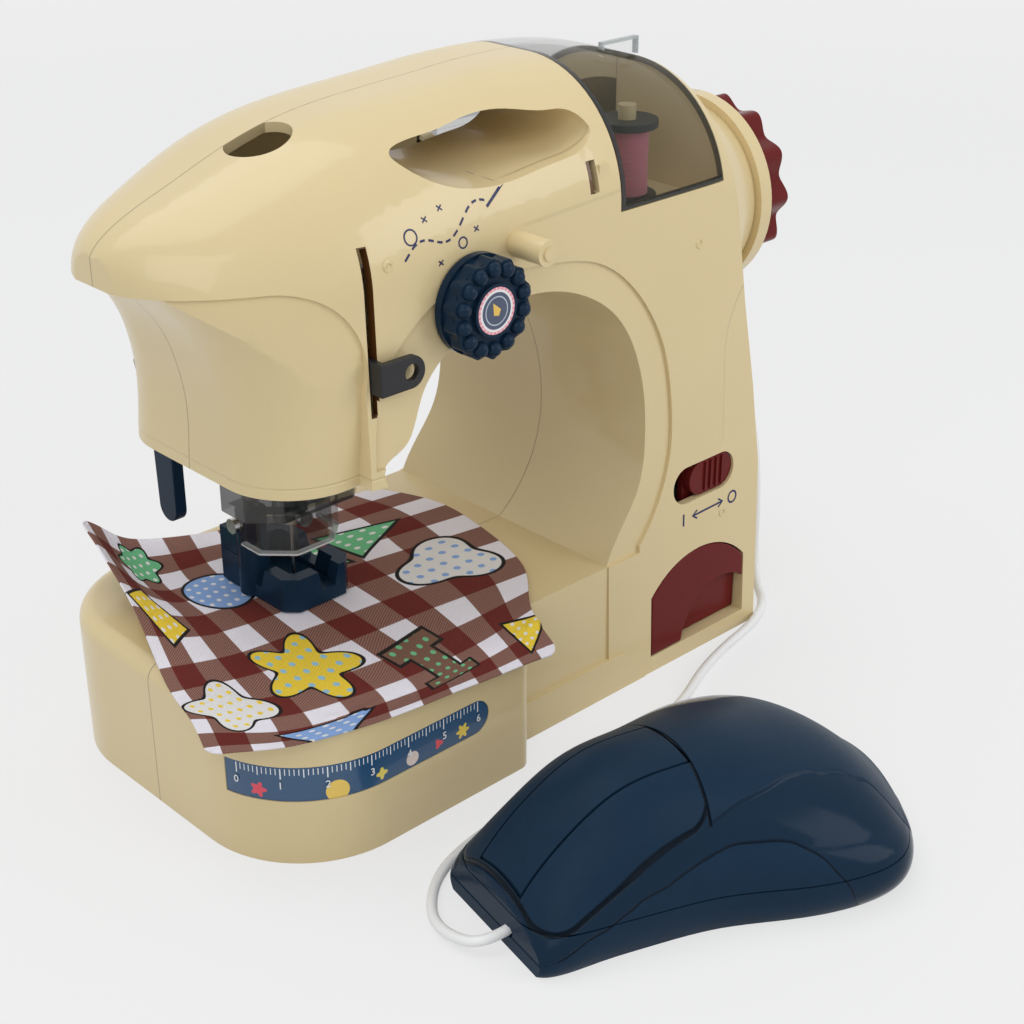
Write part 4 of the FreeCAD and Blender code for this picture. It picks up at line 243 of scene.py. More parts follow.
JOIN = 0.002
SLIVER = 0.0005
FLAT_ANGLE = 0.6
EASED_ANGLE = 38.0
BEFORE_FRONT = -200.0
FRONT = -35.0
PRINT_PROUD = 0.05
PRINT_FLATTENED = 0.1


def own(obj, body, slot, *nodes):
    """Hangs a piece on its body, and lets it stand for the nodes that it replaces."""
    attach(obj, body)
    if nodes:
        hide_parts(*nodes)
    return obj


def piece(name, work, material, smooth=40.0):
    """A mesh piece, smooth but where its faces meet at more than smooth degrees."""
    if smooth:
        for face in work.faces:
            face.smooth = True
        for edge in work.edges:
            edge.smooth = edge.calc_face_angle(math.pi) < math.radians(smooth)
    mesh = bpy.data.meshes.new(name)
    work.to_mesh(mesh)
    work.free()
    if "custom_normal" in mesh.attributes:
        mesh.attributes.remove(mesh.attributes["custom_normal"])
    mesh.materials.append(material)
    obj = bpy.data.objects.new(name, mesh)
    bpy.context.scene.collection.objects.link(obj)
    return obj


def merged(node, flat=False):
    """A copy of a construction piece, its triangles joined up and its flats made one."""
    work = bmesh.new()
    work.from_mesh(frame["nodes"][node].data)
    bmesh.ops.remove_doubles(work, verts=work.verts, dist=JOIN * MM)
    bmesh.ops.dissolve_degenerate(work, edges=work.edges, dist=SLIVER * MM)
    if flat:
        bmesh.ops.dissolve_limit(work, angle_limit=math.radians(FLAT_ANGLE), verts=work.verts,
                                 edges=work.edges)
    return work


def dress(node, slot, material, smooth=32.0, edge=0.0, even=False):
    """A smooth copy of a construction piece, its edges eased by edge millimetres."""
    obj = piece(node + "_skin", merged(node, edge > 0.0), material, smooth)
    if even:
        weigh = obj.modifiers.new("Even shading", "WEIGHTED_NORMAL")
        weigh.mode = "FACE_AREA"
        weigh.keep_sharp = True
    if edge:
        ease = obj.modifiers.new("Eased edges", "BEVEL")
        ease.width = edge * MM
        ease.segments = 2
        ease.limit_method = "ANGLE"
        ease.angle_limit = math.radians(EASED_ANGLE)
    body = frame["nodes"][node]["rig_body"]
    return own(obj, body, slot, node)


def lathe(rings, steps, at, forward=False):
    """A turned form from (radius, height) rings in millimetres, upright or facing -Y."""
    work = bmesh.new()
    line = [work.verts.new((r * MM, 0, h * MM)) for r, h in rings]
    edges = [work.edges.new(pair) for pair in zip(line, line[1:])]
    bmesh.ops.spin(work, geom=line + edges, cent=(0, 0, 0), axis=(0, 0, 1), dvec=(0, 0, 0),
                   angle=2 * math.pi, steps=steps, use_merge=True, use_duplicate=False)
    bmesh.ops.remove_doubles(work, verts=work.verts, dist=0.001 * MM)
    bmesh.ops.recalc_face_normals(work, faces=work.faces)
    turn = Matrix.Rotation(math.radians(90 if forward else 0), 4, "X")
    bmesh.ops.transform(work, matrix=Matrix.Translation(Vector(at) * MM) @ turn,
                        verts=work.verts)
    return work


def flat_mesh(data):
    """The mesh of a curve or text, before it is set in place."""
    holder = bpy.data.objects.new("holder", data)
    bpy.context.scene.collection.objects.link(holder)
    bpy.context.view_layer.update()
    mesh = bpy.data.meshes.new_from_object(
        holder.evaluated_get(bpy.context.evaluated_depsgraph_get()))
    bpy.data.objects.remove(holder)
    return mesh


def strokes(lines, width):
    """A bmesh of printed lines, drawn flat as (x, z) places in millimetres."""
    data = bpy.data.curves.new("strokes", "CURVE")
    data.dimensions = "3D"
    data.bevel_depth = width / 2 * MM
    data.bevel_resolution = 1
    data.use_fill_caps = True
    for line in lines:
        spline = data.splines.new("POLY")
        spline.points.add(len(line) - 1)
        for point, (x, z) in zip(spline.points, line):
            point.co = (x * MM, 0, z * MM, 1)
    work = bmesh.new()
    work.from_mesh(flat_mesh(data))
    return work


def front():
    """A function that tells how far back the housing's front is at a place x, z."""
    work = merged("front_shell")
    skin = BVHTree.FromBMesh(work)
    work.free()

    def depth(x, z):
        hit = skin.ray_cast(Vector((x, BEFORE_FRONT * MM, z)), Vector((0, 1, 0)))[0]
        return hit.y if hit else FRONT * MM

    return depth


def printed(name, lines, width, ink):
    """Lays drawn lines on the housing's front, seen along +Y, as a piece of their own."""
    work = strokes(lines, width)
    depth = front()
    for vertex in work.verts:
        x, y, z = vertex.co
        vertex.co.y = depth(x, z) - PRINT_PROUD * MM + PRINT_FLATTENED * y
    own(piece(name, work, ink), "housing", "navy_plastic")


def arc(cx, cz, radius, start, end, count):
    """Places on a circle, angles in degrees."""
    places = []
    for i in range(count + 1):
        turn = math.radians(start + (end - start) * i / count)
        places.append((cx + radius * math.cos(turn), cz + radius * math.sin(turn)))
    return places


# Sizes and colours that a user may change

def colour_property(name, description, value):
    return FloatVectorProperty(name=name, description=description, subtype="COLOR",
                               size=3, min=0.0, max=1.0, default=value)


class SewingFinish(bpy.types.PropertyGroup):
    cream: colour_property("Cream", "Moulded housing", (0.69, 0.555, 0.305))
    navy: colour_property("Navy", "Pedal, knob, foot and lever", (0.0085, 0.024, 0.048))
    maroon: colour_property("Maroon", "Handwheel, slider and drawer", (0.135, 0.013, 0.012))
    smoke: colour_property("Smoke", "See-through lid and guard", (0.026, 0.034, 0.022))
    thread: colour_property("Thread", "Sewing thread on the spool", (0.72, 0.235, 0.30))
    lead: colour_property("Lead", "Pedal lead", (0.86, 0.86, 0.85))
    rule: colour_property("Rule", "Ground of the printed rule", (0.018, 0.070, 0.155))


class SewingCloth(bpy.types.PropertyGroup):
    side: FloatProperty(name="Side", description="Edge of the square before it was laid",
                        default=0.0875, unit="LENGTH")
    check: FloatProperty(name="Check", description="Width of one gingham stripe",
                         default=0.0070, unit="LENGTH")
    thickness: FloatProperty(name="Thickness", description="Thickness of the cloth",
                             default=0.0004, unit="LENGTH")
    brown: colour_property("Brown", "Single stripe", (0.200, 0.078, 0.048))
    dark: colour_property("Dark", "Where two stripes cross", (0.125, 0.016, 0.012))
    pale: colour_property("Pale", "Ground", (0.84, 0.81, 0.88))


class SewingStage(bpy.types.PropertyGroup):
    backdrop: colour_property("Backdrop", "Backdrop behind the floor", (0.863, 0.863, 0.863))
    floor: FloatProperty(name="Floor", description="Colour of the floor where shadows fall",
                         default=0.22, min=0.0, max=1.0)
    shade: FloatProperty(name="Shade", description="Share of the floor that lamps must light",
                         default=0.26, min=0.0, max=1.0)
    key: FloatProperty(name="Key", description="Power of the left soft box", default=1.7)
    side: FloatProperty(name="Side", description="Power of the right soft box", default=2.3)
    top: FloatProperty(name="Top", description="Power of the top soft box", default=3.2)
    room: FloatProperty(name="Room", description="Strength of the even light of the room",
                        default=0.58)
    lens: FloatProperty(name="Lens", description="Focal length of the camera in millimetres",
                        default=63.19)


class SEWING_OT_stage(bpy.types.Operator):
    """Pale floor, soft boxes, even room light and the camera"""
    bl_idname = "sewing.stage"
    bl_label = "Stage"

    # Places and sizes in metres, turns in degrees
    CAMERA = (-0.25211, -0.29353, 0.23742)
    CAMERA_TURN = (63.45, 0.0, -43.71)
    KEY = (0.55, (-0.62, -0.42, 0.62))
    SIDE = (0.5, (0.45, -0.75, 0.45))
    TOP = (0.8, (-0.10, 0.25, 0.95))
    AIM = (-0.01, -0.03, 0.06)
    FLOOR_RADIUS = 4.0

    def execute(self, context):
        stage = context.scene.sewing_stage
        camera = bpy.data.objects.new("camera", bpy.data.cameras.new("camera"))
        context.scene.collection.objects.link(camera)
        camera.data.lens = stage.lens
        camera.data.sensor_width = 36.0
        camera.data.clip_start = 0.01
        camera.location = self.CAMERA
        camera.rotation_euler = [math.radians(angle) for angle in self.CAMERA_TURN]
        context.scene.camera = camera
        for name, power, (size, place) in (("key_box", stage.key, self.KEY),
                                           ("side_box", stage.side, self.SIDE),
                                           ("top_box", stage.top, self.TOP)):
            lamp = bpy.data.lights.new(name, "AREA")
            lamp.energy = power
            lamp.size = size
            box = bpy.data.objects.new(name, lamp)
            context.scene.collection.objects.link(box)
            box.location = place
            aim = Vector(self.AIM) - box.location
            box.rotation_euler = aim.to_track_quat("-Z", "Y").to_euler()
        work = bmesh.new()
        bmesh.ops.create_circle(work, cap_ends=True, segments=96, radius=self.FLOOR_RADIUS)
        piece("floor", work, self.ground(stage), None)
        self.sky(context, stage)
        context.scene.view_settings.view_transform = "Standard"
        return {"FINISHED"}

    def ground(self, stage):
        """Plain floor that fades into the backdrop with distance."""
        paint = Paint("floor")
        x, y, _ = paint.place()
        cloud = paint.noise(180.0)
        far = ((x * x + y * y) ** 0.5).step(350.0, 1100.0)
        seen = paint.node("LightPath", {}, {}, "Is Camera Ray").most(
            paint.node("LightPath", {}, {}, "Is Glossy Ray")).most(
            paint.node("LightPath", {}, {}, "Is Transmission Ray"))
        back = tuple(stage.backdrop)
        ground = paint.mix(cloud, (stage.floor * 0.99,) * 3, (stage.floor * 1.01,) * 3)
        ground = paint.mix(far, ground, (0.0, 0.0, 0.0))
        ground = paint.mix(seen, (0.75, 0.75, 0.75), ground)
        light = paint.mix(far, tone(back, 1.0 - stage.shade), back)
        light = paint.mix(seen, (0.0, 0.0, 0.0), light)
        return paint.surface(Base_Color=ground, Roughness=0.8, Emission_Color=light,
                             Emission_Strength=1.0, Specular_IOR_Level=0.0)

    def sky(self, context, stage):
        """Even light of the room, and the backdrop where the camera sees it."""
        world = bpy.data.worlds.new("room")
        context.scene.world = world
        world.use_nodes = True
        tree = world.node_tree
        tree.nodes.clear()
        ray = tree.nodes.new("ShaderNodeLightPath")
        seen = ray.outputs["Is Camera Ray"]
        for name in ("Is Glossy Ray", "Is Transmission Ray"):
            either = tree.nodes.new("ShaderNodeMath")
            either.operation = "MAXIMUM"
            tree.links.new(seen, either.inputs[0])
            tree.links.new(ray.outputs[name], either.inputs[1])
            seen = either.outputs[0]
        lights = []
        for colour, strength in (((0.95, 0.97, 1.0), stage.room), (tuple(stage.backdrop), 1.0)):
            back = tree.nodes.new("ShaderNodeBackground")
            back.inputs[0].default_value = colour + (1.0,)
            back.inputs[1].default_value = strength
            lights.append(back)
        blend = tree.nodes.new("ShaderNodeMixShader")
        tree.links.new(seen, blend.inputs[0])
        tree.links.new(lights[0].outputs[0], blend.inputs[1])
        tree.links.new(lights[1].outputs[0], blend.inputs[2])
        out = tree.nodes.new("ShaderNodeOutputWorld")
        tree.links.new(blend.outputs[0], out.inputs[0])


class SEWING_OT_housing(bpy.types.Operator):
    """Cream housing, its underside, its moulding pips and the stitched motif"""
    bl_idname = "sewing.housing"
    bl_label = "Housing"

    def execute(self, context):
        finish = context.scene.sewing_finish
        cream = self.cream(finish.cream)
        under = moulded("cream underside", tone(finish.cream, 0.93), 0.42, depth=0.02)
        for node in ("front_shell", "back_shell"):
            dress(node, "cream_plastic", cream, 30, even=True)
        for node in ("bottom_plate", "battery_door"):
            dress(node, "cream_plastic", under, 30)
        self.pips(cream)
        self.motif(moulded("navy ink", (0.012, 0.016, 0.085), 0.4, depth=0.002))
        return {"FINISHED"}

    def cream(self, colour):
        """Glossy cream: parting line darkened as painted shade, painted shade inside the slots,
        creases and rim groove.
        """
        paint = Paint("cream plastic")
        x, y, z = paint.place()
        flow = paint.noise(26.0, 3.0)
        smudge = paint.noise(7.0, 4.0, 0.6)
        base = paint.mix(flow, tone(colour, 0.98), tone(colour, 1.02))
        # painted shade: the parting line between the two shells is darkened where shade falls in
        # its gap; the same line is cut in as a groove by the bump below
        seam = abs(y).under(0.13, 0.07)
        base = paint.mix(seam * 0.55, base, tone(colour, 0.35))
        ahead = y.under(-29.0, 0.5)

        def slot(mid_x, mid_z, half_x, half_z):
            return (abs(x - mid_x).under(half_x, 0.02)
                    * abs(z - mid_z).under(half_z, 0.02) * ahead)

        # painted shade: the insides of the two slot openings at the front are coloured dark brown
        # where shade falls in them
        slot_shade = slot(-42.6, 110.25, 1.04, 17.53).most(slot(19.6, 129.7, 0.94, 3.43))
        base = paint.mix(slot_shade, base, (0.105, 0.040, 0.010))
        bend = (z - 78.0).most(0.0)
        flank = (x - 64.8 - bend * bend * 0.026).step(-0.45, 0.45) * z.step(50.0, 56.0) * ahead
        rim = abs(z - 79.3).under(0.20, 0.18) * (-27.0 - x).step(0.0, 1.0)
        crown = (z - 124.0 - x * 0.05).step(-0.6, 0.6) * (x + 6.0).step(0.0, 8.0) * (
            (29.5 - x).step(0.0, 1.0)) * ahead
        normal = paint.bump(flank * -0.25 + crown * 0.25 - seam.most(rim) * 0.12, 1.0)
        return paint.surface(Base_Color=base, Roughness=(smudge - 0.5) * 0.08 + 0.34,
                             Coat_Weight=0.4, Coat_Roughness=0.04, Specular_IOR_Level=0.25,
                             Normal=normal)

    def pips(self, cream):
        """Round gate marks left by moulding on the front."""
        depth = front()
        rings = ((0, -0.05), (0.55, 0.0), (0.75, 0.28), (1.05, 0.30), (1.3, 0.02), (1.35, -0.3))
        for count, (x, z) in enumerate(((-37.6, 123.2), (54.4, 107.6), (65.2, 35.6))):
            work = lathe(rings, 28, (x, 0, z), forward=True)
            bmesh.ops.translate(work, verts=work.verts, vec=(0, depth(x * MM, z * MM), 0))
            own(piece("pip_%d" % count, work, cream), "housing", "cream_plastic")

    def motif(self, ink):
        """A running stitch in a wave, with a needle at its end and crosses round it."""
        count, waves = 11, 1.5
        stitches = [[(-33.5 + 23.5 * along,
                      123.4 + 7.2 * along + 1.7 * math.sin(2 * math.pi * along * waves))
                     for along in (start / count + i * 0.0135 for i in range(5))]
                    for start in range(count)]
        needle = [[(-10.6 + t * 5.6, 129.6 + t * 3.6) for t in (0, 0.2, 0.4, 0.6, 0.8, 1.0)]]
        rings = [arc(-31.2, 127.6, 1.5, 0, 360, 20), arc(-18.4, 124.0, 1.1, 0, 360, 16)]
        crosses = []
        for x, z in ((-27.0, 130.2), (-22.6, 131.6), (-14.4, 126.0), (-24.6, 121.2)):
            crosses += [[(x - 0.6, z - 0.5), (x + 0.6, z + 0.5)],
                        [(x - 0.6, z + 0.5), (x + 0.6, z - 0.5)]]
        for name, lines, width in (("motif_stitches", stitches, 0.55),
                                   ("motif_needle", needle, 0.7), ("motif_rings", rings, 0.4),
                                   ("motif_crosses", crosses, 0.35)):
            printed(name, lines, width, ink)


class SEWING_OT_lid(bpy.types.Operator):
    """Smoked lid over the spool room, and the smoked needle guard"""
    bl_idname = "sewing.lid"
    bl_label = "Smoked pieces"

    def execute(self, context):
        dress("spool_lid", "smoked_plastic", self.lid(context.scene.sewing_finish.smoke), 30)
        dress("needle_guard", "smoked_plastic", self.guard(), 30, edge=0.35)
        return {"FINISHED"}

    def lid(self, smoke):
        """Thin smoked plastic with dark rims and a clear tab on its top."""
        paint = Paint("smoked lid")
        x, y, z = paint.place()
        flow = paint.noise(30.0)
        left = (x - 28.0).under(1.5, 0.1)
        sill = (z - 120.5).under(0.9, 0.1) * y.under(0.0, 1.0)
        right = (63.0 - x).under(0.5, 0.1)
        line = left.most(sill).most(right * 0.7)
        beside = abs(x - 53.4)
        tab = (z - 145.8).step(0.0, 0.2) * beside.under(6.1, 0.05) * abs(y + 9.3).under(0.75, 0.05)
        line = line.most(tab * beside.step(5.3, 5.5).most(z.step(149.7, 149.9)))
        base = paint.mix(flow, tone(smoke, 0.9), tone(smoke, 1.1))
        base = paint.mix(line, base, (0.006, 0.007, 0.007))
        base = paint.mix(tab, base, (0.42, 0.46, 0.46))
        return paint.surface(Base_Color=base, Roughness=0.06, Coat_Weight=0.2,
                             Alpha=(1.0 - tab * 0.6) * 0.20 + line * 0.72)

    def guard(self):
        """Smoked plastic, denser in its upper half, with a pale lower rim."""
        paint = Paint("smoked guard")
        z = paint.place()[2]
        flow = paint.noise(20.0)
        rim = (z - 54.0).under(0.7, 0.2)
        upper = (z - 64.0).step(-0.5, 0.5)
        base = paint.mix(flow, (0.012, 0.013, 0.012), (0.022, 0.023, 0.021))
        base = paint.mix(rim, base, (0.62, 0.64, 0.64))
        return paint.surface(Base_Color=base, Roughness=0.06, Coat_Weight=0.3,
                             Alpha=(upper * 0.34 + 0.36).most(rim * 0.7))


class SEWING_OT_spool(bpy.types.Operator):
    """Spool and the thread wound on it"""
    bl_idname = "sewing.spool"
    bl_label = "Spool"

    TURNS = 44
    CORE = 3.5

    def execute(self, context):
        dark = moulded("spool plastic", (0.020, 0.021, 0.023), 0.35, depth=0.01)
        dress("spool", "spool_plastic", dark, 35, edge=0.2)
        low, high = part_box("spool_thread")
        middle = (low + high) / 2
        radius = (high.x - low.x) / 2 / MM
        height = (high.z - low.z) / MM
        rings = [(self.CORE, 0.0)]
        for i in range(self.TURNS):
            fat = radius - 0.16 - 0.12 * math.sin(math.pi * (i + 0.5) / self.TURNS) ** 4
            fat += 0.05 * math.sin(i * 1.7)
            for share, reach in ((0.08, -0.13), (0.3, 0.04), (0.5, 0.1), (0.7, 0.04)):
                rings.append((fat + reach, height * (i + share) / self.TURNS))
        rings.append((self.CORE, height))
        work = lathe(rings, 48, (middle.x / MM, middle.y / MM, low.z / MM))
        paint = Paint("wound thread")
        paint.place()
        fuzz = paint.noise(0.22, 3.0, 0.7)
        lay = paint.noise(2.6, 3.0)
        colour = context.scene.sewing_finish.thread
        base = paint.mix(fuzz, tone(colour, 0.72), tone(colour, 1.18))
        base = paint.mix(lay * 0.4, base, tone(colour, 0.6))
        paint.surface(Base_Color=base, Roughness=0.75, Sheen_Weight=0.4,
                      Normal=paint.bump(fuzz, 0.06))
        own(piece("wound_thread", work, paint.material, 80), "spool_group", "thread",
            "spool_thread")
        return {"FINISHED"}


class SEWING_OT_controls(bpy.types.Operator):
    """Tension knob and its badge, switch and its marks, and the drawer"""
    bl_idname = "sewing.controls"
    bl_label = "Controls"

    KNOB = (-16.3, 110.9)
    POINTER_LEAN = 28.0

    def execute(self, context):
        finish = context.scene.sewing_finish
        navy, maroon = [moulded(name, colour, 0.24, depth=0.008, sway=0.10, shine=0.10)
                        for name, colour in (("navy plastic", finish.navy),
                                             ("maroon plastic", finish.maroon))]
        dress("tension_knob", "navy_plastic", navy, 35)
        for node in ("switch_slider", "drawer"):
            dress(node, "maroon_plastic", maroon, 30, edge=0.3)
        dress("handwheel", "maroon_plastic", maroon, 35)
        dress("presser_foot", "navy_plastic", navy, 30, edge=0.3)
        dress("lifter_lever", "navy_plastic", navy, 30, edge=0.35)
        self.badge()
        ink = bpy.data.materials["navy ink"]
        marks = [[(50.6, 36.6), (50.6, 39.8)], arc(69.0, 38.6, 1.5, 0, 360, 24),
                 [(54.0, 38.3), (65.2, 38.6)],
                 [(55.6, 39.4), (53.9, 38.3), (55.6, 37.2)],
                 [(63.6, 39.7), (65.3, 38.6), (63.6, 37.5)]]
        printed("switch_marks", marks, 0.6, ink)
        return {"FINISHED"}

    def badge(self):
        """Pink ring, navy disc, thin ring and a plain pointer."""
        paint = Paint("badge")
        x, _, z = paint.place()
        x, z = x - self.KNOB[0], z - self.KNOB[1]
        grain = paint.noise(0.3)
        radius = (x * x + z * z) ** 0.5
        beads = (z.angle(x) * 28.0).math("COSINE") * 0.5 + 0.5
        colour = paint.mix(radius.under(5.1, 0.06), (0.80, 0.78, 0.78),
                           paint.mix(beads, (0.80, 0.20, 0.26), (0.82, 0.52, 0.56)))
        colour = paint.mix(radius.under(4.45, 0.05), colour, (0.82, 0.80, 0.80))
        colour = paint.mix(radius.under(3.95, 0.05), colour, (0.012, 0.035, 0.095))
        ring = abs(radius - 3.0).under(0.12, 0.05)
        colour = paint.mix(ring, colour, (0.50, 0.56, 0.64))
        lean = math.radians(self.POINTER_LEAN)
        along = x * -math.sin(lean) + z * math.cos(lean)
        across = abs(x * math.cos(lean) + z * math.sin(lean))
        tip = across * 2.3 + along - 2.1
        notch = across * 0.8 - along - 1.3
        colour = paint.mix(tip.most(notch).under(0.0, 0.08), colour, (0.80, 0.50, 0.05))
        colour = paint.mix(grain * 0.12, colour, (0.5, 0.5, 0.5))
        paint.surface(Base_Color=colour, Roughness=grain * 0.1 + 0.25, Coat_Weight=0.3)
        dress("knob_badge", "badge", paint.material, 35)


class SEWING_OT_works(bpy.types.Operator):
    """Needle, presser, shafts, gears, motor, cells and the other inner pieces"""
    bl_idname = "sewing.works"
    bl_label = "Works"

    def execute(self, context):
        steel = metal("bright steel", (0.60, 0.60, 0.61), 0.26)
        brass = metal("brass", (0.72, 0.50, 0.20), 0.3)
        black = moulded("black plastic", (0.016, 0.016, 0.018), 0.42, depth=0.01)
        inner = moulded("inner plastic", (0.66, 0.65, 0.60), 0.5, depth=0.015)
        rubber = moulded("belt rubber", (0.014, 0.014, 0.014), 0.75, depth=0.03)
        cell = moulded("cell wrap", (0.030, 0.110, 0.070), 0.3, depth=0.004)
        for node in ("needle_plate", "main_shaft", "needle_bar", "needle_clamp", "clamp_screw",
                     "needle", "presser_bar", "presser_spring", "foot_screw", "lower_shaft",
                     "looper_hook", "motor", "motor_rotor", "battery_contacts",
                     "housing_screws", "pedal_screws", "pedal_spring"):
            dress(node, "steel", steel, 35)
        for node in ("thread_lever", "needle_yoke", "lift_link", "head_frame", "switch_case",
                     "pedal_socket", "pedal_switch"):
            dress(node, "black_plastic", black, 32, edge=0.2)
        for node in ("battery_tray", "shaft_bushes", "drive_gear", "upper_pulley",
                     "lower_pulley", "lower_bushes", "crank_disc", "shaft_bracket",
                     "motor_bracket", "knob_clip"):
            dress(node, "inner_plastic", inner, 32)
        dress("motor_pinion", "brass", brass, 32)
        dress("drive_belt", "belt_rubber", rubber, 32)
        dress("batteries", "cell_wrap", cell, 35)
        return {"FINISHED"}


# Printed rule: it starts on the block's round corner and runs on along its flat front

CORNER = (-53.3, -20.0)
CORNER_RADIUS = 27.0
RULE_BACK = math.asin(6 / CORNER_RADIUS)
RULE_BEND = (math.pi / 2 - RULE_BACK) * CORNER_RADIUS
RULE_ZERO = 3.0
RULE_END = 63.2


def rule_place(along, height, proud):
    """The place in millimetres that lies so far along the rule, and so far proud of it."""
    x, y = CORNER
    reach = CORNER_RADIUS + proud
    if along < RULE_BEND:
        turn = math.pi + RULE_BACK + along / CORNER_RADIUS
        return Vector((x + reach * math.cos(turn), y + reach * math.sin(turn), height))
    return Vector((x + along - RULE_BEND, y - reach, height))


def rule_along(x, y):
    """How far along the rule a place lies."""
    back, middle = CORNER[0] - x, CORNER[1] - y
    if back > 0:
        return CORNER_RADIUS * (math.atan2(middle, back) - RULE_BACK)
    return RULE_BEND - back


class SEWING_OT_rule(bpy.types.Operator):
    """Printed rule on the table block, with ticks and plain numbers"""
    bl_idname = "sewing.rule"
    bl_label = "Rule"

    # Printed figures: place along and up, size, petals (none for a disc) and colour
    FIGURES = ((8.0, 18.2, 1.5, 5, (0.72, 0.05, 0.09)), (25.0, 17.6, 2.6, 0, (0.80, 0.55, 0.10)),
               (35.5, 18.2, 1.2, 4, (0.75, 0.62, 0.12)), (44.0, 18.0, 1.7, 0, (0.72, 0.60, 0.55)),
               (51.5, 18.3, 1.0, 3, (0.70, 0.06, 0.08)), (58.5, 18.4, 1.5, 6, (0.80, 0.58, 0.06)))
    NUMBER_SIZE = 2.5
    NUMBER_FOOT = 19.0

    def execute(self, context):
        ground = tuple(context.scene.sewing_finish.rule)
        paint = Paint("printed rule")
        u, v, _ = paint.place("along")
        u, v = u / MM, v / MM
        dust = paint.noise(0.4 * MM)
        colour = paint.mix(dust * 0.25, ground, tone(ground, 1.6))
        for cu, cv, size, petals, shade in self.FIGURES:
            du, dv = u - cu, v - cv
            far = (du * du + dv * dv) ** 0.5
            if petals:
                far = far - (dv.angle(du) * petals).math("COSINE") * (0.28 * size)
            colour = paint.mix(far.under(size, 0.06), colour, shade)
        colour = paint.mix(self.ticks(u, v), colour, (0.82, 0.84, 0.86))
        paint.surface(Base_Color=colour, Roughness=dust * 0.08 + 0.2, Coat_Weight=0.35)
        work = merged("rule_label")
        layer = work.loops.layers.uv.new("along")
        for face in work.faces:
            for loop in face.loops:
                x, y, z = loop.vert.co / MM
                loop[layer].uv = (rule_along(x, y) * MM, z * MM)
        own(piece("rule_skin", work, paint.material, 30), "housing", "label", "rule_label")
        white = moulded("rule numbers", (0.80, 0.82, 0.84), 0.35, depth=0.002)
        work = bmesh.new()
        for number in range(7):
            text = bpy.data.curves.new("number", "FONT")
            text.body = str(number)
            text.size = self.NUMBER_SIZE * MM
            text.align_x = "CENTER"
            text.extrude = 0.03 * MM
            text.resolution_u = 3
            mesh = flat_mesh(text)
            for vertex in mesh.vertices:
                x, y, z = vertex.co / MM
                along = RULE_ZERO + 10.0 * number + x
                vertex.co = rule_place(along, self.NUMBER_FOOT + y, 0.04 + z) * MM
            work.from_mesh(mesh)
        own(piece("rule_numbers", work, white, None), "housing", "label")
        return {"FINISHED"}

    def ticks(self, u, v):
        """Millimetre, half and whole centimetre ticks that hang from the top edge."""
        line = None
        for period, width, low in ((1.0, 0.09, 22.3), (5.0, 0.11, 21.8), (10.0, 0.13, 21.3)):
            near = abs(((u - RULE_ZERO) / period + 0.5).part() - 0.5) * period
            one = near.under(width, 0.04) * v.step(low - 0.05, low + 0.05)
            line = one if line is None else line.most(one)
        inside = u.step(RULE_ZERO - 0.2, RULE_ZERO - 0.1) * (RULE_END - u).step(0.0, 0.1) * (
            (23.9 - v).step(0.0, 0.1))
        return line * inside


# Cloth: places across it, front edge first, in millimetres, with the lift over the table

TABLE_TOP = 35.62
CLOTH_MIDDLE = 35.75
CLOTH_PLACES = (
    ((-88.0, -33.0, -4.0), (-72.0, -44.8, -2.56), (-47.0, -49.9, -3.04),
     (-25.0, -52.0, -3.2), (-8.0, -53.4, -4.16)),
    ((-85.4, -24.0, -0.8), (-70.6, -38.1, 0.16), (-46.1, -43.5, 0.32),
     (-25.0, -44.0, 0.32), (-4.5, -41.0, 0.16)),
    ((-81.9, -9.9, 0.16), (-65.9, -15.0, 0.0), (-44.0, -17.9, 0.0),
     (-20.0, -20.0, 0.0), (9.0, -24.0, 0.0)),
    ((-75.0, 12.0, 7.04), (-61.0, 9.0, 0.0), (-41.9, 6.1, 0.0),
     (-17.9, 3.0, 0.0), (15.0, -3.0, 0.32)),
    ((-71.0, 30.1, 11.52), (-60.0, 27.0, 0.96), (-40.0, 24.0, 0.16),
     (-14.1, 20.0, 0.0), (16.0, 15.0, 0.64)),
    ((-68.0, 44.0, 15.04), (-57.0, 41.9, 6.08), (-36.0, 39.0, 1.44),
     (-12.0, 35.0, 0.48), (9.9, 31.0, 0.8)),
)


def through(values, share):
    """A smooth curve through evenly spaced values, read at a share of its length."""
    spot = share * (len(values) - 1)
    i = min(int(spot), len(values) - 2)
    t = spot - i
    b, c = values[i], values[i + 1]
    a = values[i - 1] if i else b * 2 - c
    d = values[i + 2] if i + 2 < len(values) else c * 2 - b
    return (b * 2 + (c - a) * t + (a * 2 - b * 5 + c * 4 - d) * t * t
            + (b * 3 - a - c * 3 + d) * t * t * t) * 0.5


